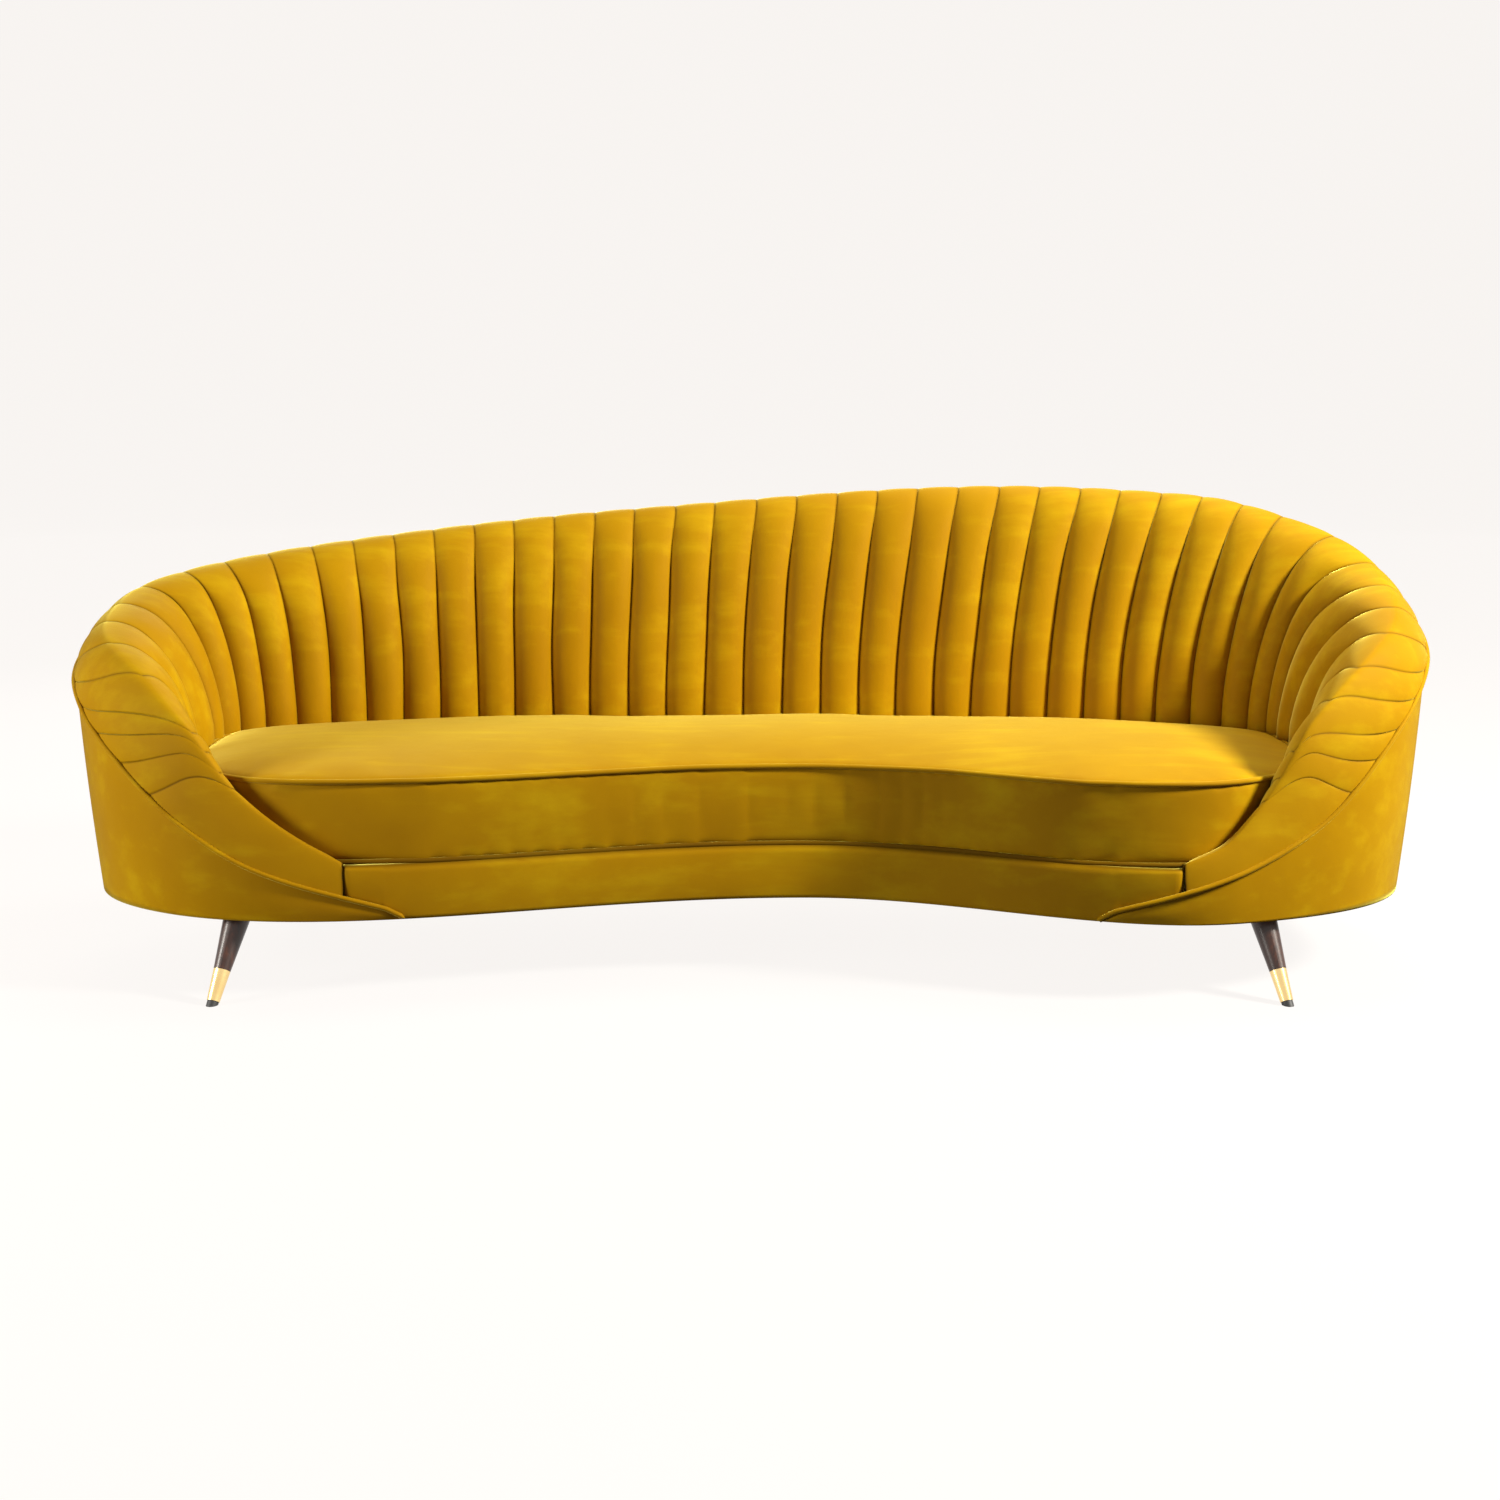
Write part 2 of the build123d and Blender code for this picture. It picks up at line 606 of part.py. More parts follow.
def build():
    parts = {
        "base_panel": base_panel(),
        "deck_ring": deck_ring(),
        "front_rail": front_rail(),
        "frame_blocks": Compound(spacer_blocks() + leg_blocks()),
        "cross_rails": cross_rails(),
        "top_rail": top_rail(),
        "seat_springs": seat_springs(),
        "spring_clips": spring_clips(),
        "tie_wires": tie_wires(),
        "deck_pad": deck_pad(),
        "seat_cushion": seat_cushion(),
        "cushion_welt_top": seat_welt(WELT_LEVEL - 2 * CORD_R),
        "cushion_welt_bottom": seat_welt(CUSHION_BOTTOM),
        "front_border": front_border(),
        "outside_welt": outside_welt(),
        "dust_cover": dust_cover(),
        "leg_plates": plates(),
        "hanger_bolts": hanger_bolts(),
        "plate_screws": plate_screws(),
    }
    for k, w in enumerate(RIB_STATIONS):
        parts[f"back_rib_{k + 1:02d}"] = rib(w)
    for k, (first, last) in enumerate(zip(PAD_ENDS, PAD_ENDS[1:])):
        parts[f"channel_pad_{k + 1:02d}"] = channel_pad(first, last)
    for k, (first, last) in enumerate(zip(PANEL_ENDS, PANEL_ENDS[1:])):
        parts[f"outside_panel_{k + 1:02d}"] = outside_panel(first, last)
    for leg in LEGS:
        parts[f"leg_{leg[0]}"] = leg_wood(leg)
        parts[f"ferrule_{leg[0]}"] = ferrule(leg)
        parts[f"glide_{leg[0]}"] = glide(leg)
    return parts


def main():
    os.makedirs("parts", exist_ok=True)
    parts = build()
    boxes = [shape.bounding_box() for shape in parts.values()]
    centre_x = (min(b.min.X for b in boxes) + max(b.max.X for b in boxes)) / 2
    centre_y = (min(b.min.Y for b in boxes) + max(b.max.Y for b in boxes)) / 2
    print("footprint centre before centring", round(centre_x, 3), round(centre_y, 3))
    for name, shape in parts.items():
        export_step(Pos(-centre_x, -centre_y, 0) * shape, f"parts/{name}.step")
    print(len(parts), "nodes")


main()
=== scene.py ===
import math

import bmesh
import bpy
import numpy as np
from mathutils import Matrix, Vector, kdtree


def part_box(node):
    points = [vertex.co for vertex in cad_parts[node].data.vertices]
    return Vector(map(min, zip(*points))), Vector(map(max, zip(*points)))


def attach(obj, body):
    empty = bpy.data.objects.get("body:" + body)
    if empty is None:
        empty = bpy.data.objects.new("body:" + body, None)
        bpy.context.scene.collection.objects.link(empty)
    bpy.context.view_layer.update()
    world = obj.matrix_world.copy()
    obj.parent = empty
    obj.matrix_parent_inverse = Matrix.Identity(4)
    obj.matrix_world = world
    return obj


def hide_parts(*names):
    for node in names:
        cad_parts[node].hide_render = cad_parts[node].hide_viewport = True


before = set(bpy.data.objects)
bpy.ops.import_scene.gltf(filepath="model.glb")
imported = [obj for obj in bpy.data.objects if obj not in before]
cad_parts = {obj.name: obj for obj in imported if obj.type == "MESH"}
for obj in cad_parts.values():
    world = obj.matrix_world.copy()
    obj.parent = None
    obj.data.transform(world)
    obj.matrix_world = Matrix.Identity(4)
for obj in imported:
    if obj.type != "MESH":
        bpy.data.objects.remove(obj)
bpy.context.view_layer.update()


# ---- Studio ----
# A pale paper floor that sweeps up into a dome and glows evenly, and four soft lights: a key high
# on the right, one overhead for the seat, a low one on the left, and one behind. The camera stands
# a little higher than the back and looks slightly down.
PAPER = (0.06, 0.06, 0.06, 1.0)
PAPER_GLOW = (0.92, 0.89, 0.865, 1.0)
FLOOR_R = 11.0
SWEEP_R = 3.0
DOME_RISE = 9.0
TURNS = 72
BENDS = 12
LEG_ROWS_MIDDLE = -0.1295
CAMERA_AWAY = 3.861
CAMERA_HEIGHT = 1.054
CAMERA_TILT = 10.19

plates_low, plates_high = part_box("leg_plates")
plan_shift = np.array([(plates_low.x + plates_high.x) / 2,
                       (plates_low.y + plates_high.y) / 2 - LEG_ROWS_MIDDLE])

camera_data = bpy.data.cameras.new("studio_camera")
camera_data.lens = 50.0
camera_data.sensor_width = 36.0
camera = bpy.data.objects.new("studio_camera", camera_data)
camera.location = (plan_shift[0], plan_shift[1] - CAMERA_AWAY, CAMERA_HEIGHT)
camera.rotation_euler = (math.radians(90 - CAMERA_TILT), 0, 0)
bpy.context.scene.collection.objects.link(camera)
bpy.context.scene.camera = camera

bpy.context.scene.view_settings.view_transform = "Standard"

bends = [math.radians(90 / BENDS * k) for k in range(1, BENDS + 1)]
profile = [(0.0, 0.0), (FLOOR_R, 0.0)]
profile += [(FLOOR_R + SWEEP_R * math.sin(a), SWEEP_R * (1 - math.cos(a))) for a in bends]
profile += [((FLOOR_R + SWEEP_R) * math.cos(a), SWEEP_R + DOME_RISE * math.sin(a)) for a in bends]
floor_points = []
for r, z in profile:
    for k in range(TURNS):
        turn = 2 * math.pi * k / TURNS
        floor_points.append((r * math.cos(turn), r * math.sin(turn), z))
floor_faces = []
for i in range(len(profile) - 1):
    for k in range(TURNS):
        m = (k + 1) % TURNS
        floor_faces.append((i * TURNS + k, (i + 1) * TURNS + k, (i + 1) * TURNS + m, i * TURNS + m))
floor_mesh = bpy.data.meshes.new("studio_floor")
floor_mesh.from_pydata(floor_points, [], floor_faces)
floor_mesh.polygons.foreach_set("use_smooth", np.ones(len(floor_faces), bool))
floor = bpy.data.objects.new("studio_floor", floor_mesh)
bpy.context.scene.collection.objects.link(floor)
paper = bpy.data.materials.new("pale_paper")
paper.use_nodes = True
sheet = paper.node_tree.nodes["Principled BSDF"].inputs
sheet["Base Color"].default_value = PAPER
sheet["Roughness"].default_value = 0.95
sheet["Specular IOR Level"].default_value = 0.1
sheet["Emission Color"].default_value = PAPER_GLOW
sheet["Emission Strength"].default_value = 1.0
floor_mesh.materials.append(paper)
floor.visible_diffuse = False


def lamp(name, spot, target, size, watts, colour):
    data = bpy.data.lights.new(name, "AREA")
    data.shape = "DISK"
    data.size = size
    data.energy = watts
    data.color = colour
    light = bpy.data.objects.new(name, data)
    light.location = spot
    light.rotation_euler = (Vector(target) - Vector(spot)).to_track_quat("-Z", "Y").to_euler()
    bpy.context.scene.collection.objects.link(light)


lamp("key_right", (3.7, -1.35, 2.75), (-0.2, 0.1, 0.4), 0.8, 400, (1.0, 0.97, 0.88))
lamp("overhead", (1.1, 0.7, 3.2), (0.0, 0.0, 0.4), 1.2, 72, (1.0, 0.99, 0.95))
lamp("fill_left", (-3.0, -1.4, 0.9), (-1.1, 0.0, 0.4), 1.0, 70, (1.0, 0.97, 0.90))
lamp("behind", (-0.8, 3.6, 1.7), (0.0, 0.3, 0.4), 2.2, 70, (1.0, 0.98, 0.94))

world = bpy.data.worlds.new("studio_air")
bpy.context.scene.world = world
world.use_nodes = True
air = world.node_tree.nodes["Background"].inputs
air["Color"].default_value = (1.0, 0.95, 0.86, 1)
air["Strength"].default_value = 0.10


# ---- Channelled inside back and arms ----
# One cover of cotton velvet over foam, sewn into 48 channels. It starts at the outside welt, rolls
# over the ridge and runs down inside the shell to the deck. At each front end a long plain channel
# tapers to an upright seam beside the border.
BODY = "sofa_body"
HALF_WIDTH = 1.194
SHOULDER_Y = 0.010
BACK_DEPTH = 0.410
FRONT_DEPTH = 0.517
BACK_POWER = 2.5
FRONT_POWER = 3.0
WAIST_DEPTH = 0.246
WAIST_X = 0.097
WAIST_REACH = (1.105, 0.741)
TIP_ANGLE = math.radians(68)
SHELL_START = 0.016
SHELL_END = 0.9745

WELT_OUT = [(0, 2), (0.05, 4), (0.08, 9), (0.12, 20), (0.20, 36), (0.30, 38), (0.45, 20)]
RIDGE_OUT = [(0, -2), (0.05, -12), (0.08, -22), (0.12, -32), (0.20, -32), (0.30, -34), (0.45, -40)]
SEAT_OUT = [(0, -13), (0.05, -36), (0.08, -75), (0.12, -150), (0.20, -190), (0.30, -170), (0.45, -150)]
SEAT_RISE = [(0, 226), (0.05, 262), (0.08, 385), (0.12, 402), (0.20, 408), (0.45, 414)]
PAD_SHARE = [(0, 100), (0.05, 350), (0.08, 750), (0.12, 1000), (0.45, 1000)]
WELT_RISE = [(0, 158), (0.05, 229), (0.08, 305), (0.12, 436), (0.15, 510), (0.20, 568), (0.30, 635),
             (0.45, 697), (0.62, 744), (0.70, 722), (0.80, 618), (0.85, 545), (0.88, 455), (0.92, 299),
             (0.95, 231), (1, 158)]
RIDGE_RISE = [(0, 205), (0.02, 247), (0.04, 300), (0.06, 370), (0.08, 468), (0.12, 575), (0.20, 648),
              (0.30, 718), (0.45, 787), (0.62, 832), (0.70, 818), (0.76, 760), (0.80, 700), (0.88, 588),
              (0.92, 474), (0.94, 352), (0.96, 268), (0.975, 242), (1, 205)]

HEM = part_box("front_border")[0].z
BORDER_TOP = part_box("front_border")[1].z
DECK_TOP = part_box("deck_ring")[1].z


def outline_point(angle):
    """Plan outline of the body: two superellipse halves with a waist drawn into the front."""
    c, s = math.cos(angle), math.sin(angle)
    power = BACK_POWER if s >= 0 else FRONT_POWER
    x = HALF_WIDTH * math.copysign(abs(c) ** (2 / power), c)
    if s >= 0:
        return x, SHOULDER_Y + BACK_DEPTH * abs(s) ** (2 / power)
    y = SHOULDER_Y - FRONT_DEPTH * abs(s) ** (2 / power)
    share = abs(x - WAIST_X) / WAIST_REACH[0 if x < WAIST_X else 1]
    if share < 1:
        y += WAIST_DEPTH * math.cos(math.pi / 2 * share) ** 2
    return x, y


angles = np.linspace(math.pi + TIP_ANGLE, -(math.pi - TIP_ANGLE), 9001)
OUTLINE = np.array([outline_point(a) for a in angles]) + plan_shift
lengths = np.concatenate([[0], np.cumsum(np.hypot(*np.diff(OUTLINE, axis=0).T))])
SHELL_LENGTH = float(np.interp(TIP_ANGLE, -angles, lengths))
STATION = lengths / SHELL_LENGTH
LOOP = float(STATION[-1])


def at(w):
    """Plan points and outward normals at stations w along the outline, which closes on itself."""
    w = np.asarray(w, float)

    def spot(v):
        v = np.mod(v, LOOP)
        return np.stack([np.interp(v, STATION, OUTLINE[:, 0]), np.interp(v, STATION, OUTLINE[:, 1])], -1)

    along = spot(w + 0.004) - spot(w - 0.004)
    along /= np.linalg.norm(along, axis=-1, keepdims=True)
    return spot(w), np.stack([-along[..., 1], along[..., 0]], -1)


def control(table):
    """Monotone cubic through (station, millimetres), mirrored where only one half is given."""
    xs = np.array([p[0] for p in table], float)
    ys = np.array([p[1] for p in table], float) / 1000
    rise = np.diff(ys) / np.diff(xs)
    both = rise[:-1] * rise[1:]
    middle = np.where(both > 0, 2 * both / np.where(both > 0, rise[:-1] + rise[1:], 1), 0)
    half = xs[-1] < 1
    slope = np.concatenate([rise[:1], middle, [0 if half else rise[-1]]])
    grid = np.linspace(0, 1, 2001)
    v = np.clip(np.minimum(grid, 1 - grid) if half else grid, xs[0], xs[-1])
    i = np.clip(np.searchsorted(xs, v, side="right") - 1, 0, len(xs) - 2)
    span = xs[i + 1] - xs[i]
    t = (v - xs[i]) / span
    values = (ys[i] * (2 * t ** 3 - 3 * t ** 2 + 1) + ys[i + 1] * (3 * t ** 2 - 2 * t ** 3)
              + span * (slope[i] * (t ** 3 - 2 * t ** 2 + t) + slope[i + 1] * (t ** 3 - t ** 2)))
    return lambda w: np.interp(w, grid, values)


welt_out, ridge_out, seat_out, seat_rise, pad_share, welt_rise, ridge_rise = (
    control(t) for t in (WELT_OUT, RIDGE_OUT, SEAT_OUT, SEAT_RISE, PAD_SHARE, WELT_RISE, RIDGE_RISE))


def bezier(a, b, c, d, t):
    return (1 - t) ** 3 * a + 3 * (1 - t) ** 2 * t * b + 3 * (1 - t) * t ** 2 * c + t ** 3 * d


WELT_TO_RIDGE = 0.36
RIDGE_TO_SEAT = 0.84
FOOT_GAP = 0.002


def pad_profile(w, t):
    """Offset and height on the pad: t is 0 at the welt, 1 at the deck."""
    share = pad_share(w)
    wn, wz = welt_out(w), welt_rise(w)
    rn, rz = ridge_out(w), ridge_rise(w)
    sn, sz = seat_out(w), seat_rise(w)
    belly_n, belly_z = wn - 0.003 * share, wz + 0.45 * (rz - wz)
    a = np.clip(t / WELT_TO_RIDGE, 0, 1)
    b = np.clip((t - WELT_TO_RIDGE) / (RIDGE_TO_SEAT - WELT_TO_RIDGE), 0, 1)
    c = np.clip((t - RIDGE_TO_SEAT) / (1 - RIDGE_TO_SEAT), 0, 1)
    outer_n = bezier(wn, belly_n, rn + 0.32 * (belly_n - rn), rn, a)
    outer_z = bezier(wz, belly_z, rz, rz, a)
    inner_n = bezier(rn, rn - 0.6 * (rn - sn), sn + 0.1 * (rn - sn), sn, b)
    inner_z = bezier(rz, rz, sz + 0.5 * (rz - sz), sz, b)
    foot = DECK_TOP + FOOT_GAP
    n = np.where(t <= WELT_TO_RIDGE, outer_n, inner_n)
    z = np.where(t <= WELT_TO_RIDGE, outer_z, np.where(t <= RIDGE_TO_SEAT, inner_z, sz + (foot - sz) * c))
    return n, z


def ripple(a, b, seed):
    """Smooth seeded noise of two coordinates in metres, about -1 to 1."""
    waves = 7
    rng = np.random.default_rng(seed)
    total = np.zeros(np.broadcast(a, b).shape)
    for k in range(waves):
        turn = rng.uniform(0, 2 * math.pi)
        pitch = rng.uniform(4, 16)
        total += np.sin(pitch * (a * math.cos(turn) + b * math.sin(turn)) + rng.uniform(0, 2 * math.pi))
    return total / math.sqrt(waves) / 1.6


COVER_THICKNESS = 0.003


def surface_normals(grid):
    across = np.gradient(grid, axis=0)
    down = np.gradient(grid, axis=1)
    normal = np.cross(across, down)
    return normal / np.maximum(np.linalg.norm(normal, axis=-1, keepdims=True), 1e-9)


def sheet_object(name, grid, shade):
    """Object from a grid of points. Its point attribute is painted shade: how far the velvet is darkened
    at each point, as if shaded deep in a seam.
    """
    rows, cols = grid.shape[:2]
    mesh = bpy.data.meshes.new(name)
    faces = []
    for i in range(rows - 1):
        for j in range(cols - 1):
            k = i * cols + j
            faces.append((k, k + cols, k + cols + 1, k + 1))
    mesh.from_pydata(grid.reshape(-1, 3).tolist(), [], faces)
    mesh.polygons.foreach_set("use_smooth", np.ones(len(faces), bool))
    depth = mesh.attributes.new("valley", "FLOAT", "POINT")
    depth.data.foreach_set("value", shade.reshape(-1).astype(np.float32))
    piece = bpy.data.objects.new(name, mesh)
    bpy.context.scene.collection.objects.link(piece)
    return piece


def plain_copy(piece):
    """The mesh of a piece as its modifiers leave it."""
    bpy.context.view_layer.update()
    depsgraph = bpy.context.evaluated_depsgraph_get()
    return bpy.data.meshes.new_from_object(piece.evaluated_get(depsgraph))


def apply_all(piece):
    baked = plain_copy(piece)
    piece.modifiers.clear()
    piece.data = baked


def thicken(piece):
    """Give a cover its cloth and backing, inwards from its face."""
    solid = piece.modifiers.new("backing", "SOLIDIFY")
    solid.thickness = COVER_THICKNESS
    solid.offset = -1
    apply_all(piece)


class Flow:
    """A socket in a finish. Sums on it add Math nodes."""

    def __init__(self, finish, socket):
        self.finish = finish
        self.socket = socket

    def sum(self, operation, a, b):
        return self.finish.node("ShaderNodeMath", {"operation": operation}, {0: a, 1: b})[0]

    def __add__(self, other):
        return self.sum("ADD", self, other)

    def __sub__(self, other):
        return self.sum("SUBTRACT", self, other)

    def __rsub__(self, other):
        return self.sum("SUBTRACT", other, self)

    def __mul__(self, other):
        return self.sum("MULTIPLY", self, other)

    __radd__ = __add__
    __rmul__ = __mul__


class Made:
    """A node in a finish, whose outputs come back as flows."""

    def __init__(self, finish, node):
        self.finish = finish
        self.inner = node

    def __getitem__(self, key):
        return Flow(self.finish, self.inner.outputs[key])


MIX_FACTOR, MIX_A, MIX_B, MIX_COLOUR = 0, 6, 7, 2


class Finish:
    """A material that is built up node by node and ends in one Principled shader."""

    def __init__(self, name):
        self.material = bpy.data.materials.new(name)
        self.material.use_nodes = True
        self.tree = self.material.node_tree
        self.shader = self.tree.nodes["Principled BSDF"]

    def plug(self, socket, value):
        if isinstance(value, Flow):
            self.tree.links.new(value.socket, socket)
        else:
            socket.default_value = value

    def node(self, kind, settings=None, sockets=None):
        made = self.tree.nodes.new(kind)
        for key, value in (settings or {}).items():
            if key == "stops":
                ramp = made.color_ramp
                while len(ramp.elements) < len(value):
                    ramp.elements.new(1)
                for element, (place, colour) in zip(ramp.elements, value):
                    element.position = place
                    element.color = colour
            else:
                setattr(made, key, value)
        for key, value in (sockets or {}).items():
            self.plug(made.inputs[key], value)
        return Made(self, made)

    def blend(self, factor, a, b):
        settings = {"data_type": "RGBA", "clamp_factor": True}
        sockets = {MIX_FACTOR: factor, MIX_A: a, MIX_B: b}
        return self.node("ShaderNodeMix", settings, sockets)[MIX_COLOUR]

    def noise(self, place, scale, detail, roughness):
        sockets = {"Vector": place, "Scale": scale, "Detail": detail, "Roughness": roughness}
        return self.node("ShaderNodeTexNoise", None, sockets)["Fac"]

    def place(self):
        return self.node("ShaderNodeTexCoord")["Object"]

    def stretched(self, vector, scale):
        return self.node("ShaderNodeMapping", None, {"Vector": vector, "Scale": scale})["Vector"]

    def bump(self, height, strength, distance, under=None):
        sockets = {"Height": height, "Strength": strength, "Distance": distance}
        if under is not None:
            sockets["Normal"] = under
        return self.node("ShaderNodeBump", None, sockets)["Normal"]

    def done(self, **sockets):
        for key, value in sockets.items():
            self.plug(self.shader.inputs[key.replace("_", " ")], value)
        return self.material


GOLD = (0.470, 0.252, 0.0002, 1)
AMBER = (0.355, 0.165, 0.0001, 1)
PALE_GOLD = (0.600, 0.400, 0.004, 1)
# Dark brown of the pile flecks, and of the painted shade in seams and joints.
PILE_AND_SHADE_BROWN = (0.060, 0.024, 0.0003, 1)


def velvet_finish(name):
    """Mustard cotton velvet: nap brushed in soft patches, short pile, and painted shade that darkens it
    in the seams and joints.
    """
    f = Finish(name)
    place = f.place()
    patch = f.noise(place, 4.2, 4.0, 0.55)
    streak = f.noise(f.stretched(place, (4.0, 34.0, 26.0)), 1.0, 4.0, 0.6)
    pile = f.noise(place, 950.0, 2.0, 0.6)
    valley = f.node("ShaderNodeAttribute", {"attribute_name": "valley"})["Fac"]
    cloth = f.blend(patch * 1.7 - 0.35, AMBER, GOLD)
    brushed = f.blend((streak - 0.5) * 1.3 + (patch - 0.5) * 0.9, cloth, PALE_GOLD)
    fleck = f.blend(pile * 0.22, brushed, PILE_AND_SHADE_BROWN)
    # Painted shade: dark brown mixed in by the point attribute, in seams and joints.
    colour = f.blend(valley * 0.85, fleck, PILE_AND_SHADE_BROWN)
    rough = 0.62 + (patch - 0.5) * 0.16 + (streak - 0.5) * 0.1
    soft = f.bump(f.noise(place, 22.0, 3.0, 0.5), 0.16, 0.004)
    fine = f.bump(pile, 0.22, 0.0006, soft)
    f.shader.inputs["Sheen Weight"].default_value = 0.62
    f.shader.inputs["Sheen Roughness"].default_value = 0.34
    f.shader.inputs["Sheen Tint"].default_value = (0.95, 0.84, 0.16, 1)
    f.shader.inputs["Specular IOR Level"].default_value = 0.03
    return f.done(Base_Color=colour, Roughness=rough, Normal=fine)


velvet = velvet_finish("mustard_velvet")

SEAM_COUNT = 47
ACROSS_CHANNEL = 12
ACROSS_END = 30
DOWN_PAD = 74
SEAM_AT = [-1, 0, 3, 6, 9, 12, 36, 38, 40, 42, 44, 46, 47]
SEAM_AT_WELT = [SHELL_START, 0.0935, 0.137, 0.183, 0.239, 0.299, 0.7425,
                0.788, 0.823, 0.8525, 0.8805, 0.9055, SHELL_END]
SEAM_AT_RIDGE = [SHELL_START, 0.0585, 0.077, 0.159, 0.238, 0.299, 0.7425,
                 0.796, 0.8435, 0.894, 0.9285, 0.9415, SHELL_END]
SEAM_AT_SEAT = [SHELL_START, 0.057, 0.080, 0.158, 0.248, 0.303, 0.725,
                0.7585, 0.8155, 0.884, 0.929, 0.9425, SHELL_END]
CHANNEL_RISE = 0.022
SEAM_SINK = 0.0150
SEAM_LINE = 0.004
SEAM_WANDER = 0.0005
UNEVEN = 0.10
NARROWEST, WIDEST = 0.004, 0.048
PUFF_DOWN = [0, 0.25, 0.38, 0.47, 0.62, 1]
PUFF_SHARE = [0.18, 0.11, 0.12, 0.40, 1.0, 1.0]

steps = []
for k in range(-1, SEAM_COUNT):
    count = ACROSS_END if k in (-1, SEAM_COUNT - 1) else ACROSS_CHANNEL
    steps += [k + 0.5 - 0.5 * math.cos(math.pi * i / count) for i in range(count)]
steps = np.array(steps + [SEAM_COUNT])
down = np.linspace(0, 1, DOWN_PAD)
channel, drop = np.meshgrid(steps, down, indexing="ij")
wander = SEAM_WANDER * ripple(np.round(channel) * 3.1, drop * 2.2, 11)
over = 1 - (1 - np.clip(drop / WELT_TO_RIDGE, 0, 1)) ** 1.3
inward = np.clip((drop - WELT_TO_RIDGE) / (RIDGE_TO_SEAT - WELT_TO_RIDGE), 0, 1)
inward = inward * inward * (3 - 2 * inward)
at_welt, at_ridge, at_seat = (np.interp(channel, SEAM_AT, places)
                              for places in (SEAM_AT_WELT, SEAM_AT_RIDGE, SEAM_AT_SEAT))
stations = at_welt + (at_ridge - at_welt) * over + (at_seat - at_ridge) * inward
stations = np.clip(stations + wander, SHELL_START, SHELL_END)
offset, height = pad_profile(stations, drop)
ground, outward = at(stations)
pad = np.dstack([ground + outward * offset[..., None], height])
facing = surface_normals(pad)
if np.mean(np.einsum("ij,ij->i", facing[:, 2, :2], outward[:, 2])) < 0:
    facing = -facing
strides = np.linalg.norm(np.diff(pad, axis=0), axis=2)
travel = np.concatenate([np.zeros((1, DOWN_PAD)), np.cumsum(strides, 0)])
seam_rows = np.array([int(np.argmin(abs(steps - k))) for k in range(-1, SEAM_COUNT + 1)])
own = np.floor(steps).astype(int)
left_seam = travel[seam_rows[np.clip(own + 1, 0, SEAM_COUNT)]]
right_seam = travel[seam_rows[np.clip(own + 2, 1, SEAM_COUNT + 1)]]
near = np.minimum(travel - left_seam, right_seam - travel)
reach = np.clip((right_seam - left_seam) / 2, NARROWEST, WIDEST)
filled = (1 - (1 - np.clip(near / reach, 0, 1)) ** 2.2) ** 0.70
rise = np.minimum(CHANNEL_RISE, 0.62 * reach) * (1 + UNEVEN * ripple(channel * 0.7, drop * 1.5, 5))
arm = np.clip(np.minimum(stations - 0.07, 0.93 - stations) / 0.10, 0, 1)
fade = np.interp(drop, PUFF_DOWN, PUFF_SHARE) * (0.45 + 0.55 * arm)
sink = SEAM_SINK * rise / CHANNEL_RISE
pad = pad + facing * ((filled * rise - sink) * fade)[..., None]
# Painted shade: the velvet is darkened within SEAM_LINE of each channel seam.
valley = np.clip(1 - near / SEAM_LINE, 0, 1) ** 1.5
channel_cover = sheet_object("channelled_cover", pad, valley)
middle_face = channel_cover.data.polygons[len(channel_cover.data.polygons) // 2]
if np.dot(np.array(middle_face.normal), facing[len(steps) // 2, DOWN_PAD // 2]) < 0:
    channel_cover.data.flip_normals()
thicken(channel_cover)
channel_cover.data.materials.append(velvet)
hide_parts(*[f"channel_pad_{k:02d}" for k in range(1, 13)])
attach(channel_cover, BODY)


# ---- Outside back and arms ----
# Plain velvet over card and thin foam, pulled down from the welt and tacked under the hem. It leans
# out a little as it rises, and two upright seams join its three lengths behind.
OUTSIDE_SEAMS = (0.26, 0.74)
OUTSIDE_TIP = 0.006
OUTSIDE_SWELL = 0.0035
OUTSIDE_UNEVEN = 0.0016
SEAM_DIP = 0.0025
HEM_TUCK = 0.10


def panel_outside(w, z):
    return welt_out(w) * (z - HEM) / np.maximum(welt_rise(w) - HEM, 0.004)


across = np.linspace(-OUTSIDE_TIP, 1 + OUTSIDE_TIP, 560)
up = np.concatenate([[-0.16, -0.08], np.linspace(0, 1, 26)])
w_grid, v_grid = np.meshgrid(across, up, indexing="ij")
inside = np.clip(w_grid, 0, 1)
taper = np.clip(1 - np.abs(w_grid - inside) / OUTSIDE_TIP, 0.02, 1)
top = HEM + (welt_rise(inside) - HEM) * taper
level = HEM + (top - HEM) * np.clip(v_grid, 0, 1)
arch = np.sin(math.pi * np.clip(v_grid, 0, 1))
run = w_grid * SHELL_LENGTH
n = panel_outside(inside, level) + OUTSIDE_SWELL * arch * taper
n = n + OUTSIDE_UNEVEN * ripple(run * 1.6, level * 0.6, 21) * arch
for seam in OUTSIDE_SEAMS:
    n = n - SEAM_DIP * np.exp(-((w_grid - seam) * SHELL_LENGTH / 0.004) ** 2)
n = n + np.where(v_grid < 0, v_grid * HEM_TUCK, 0)
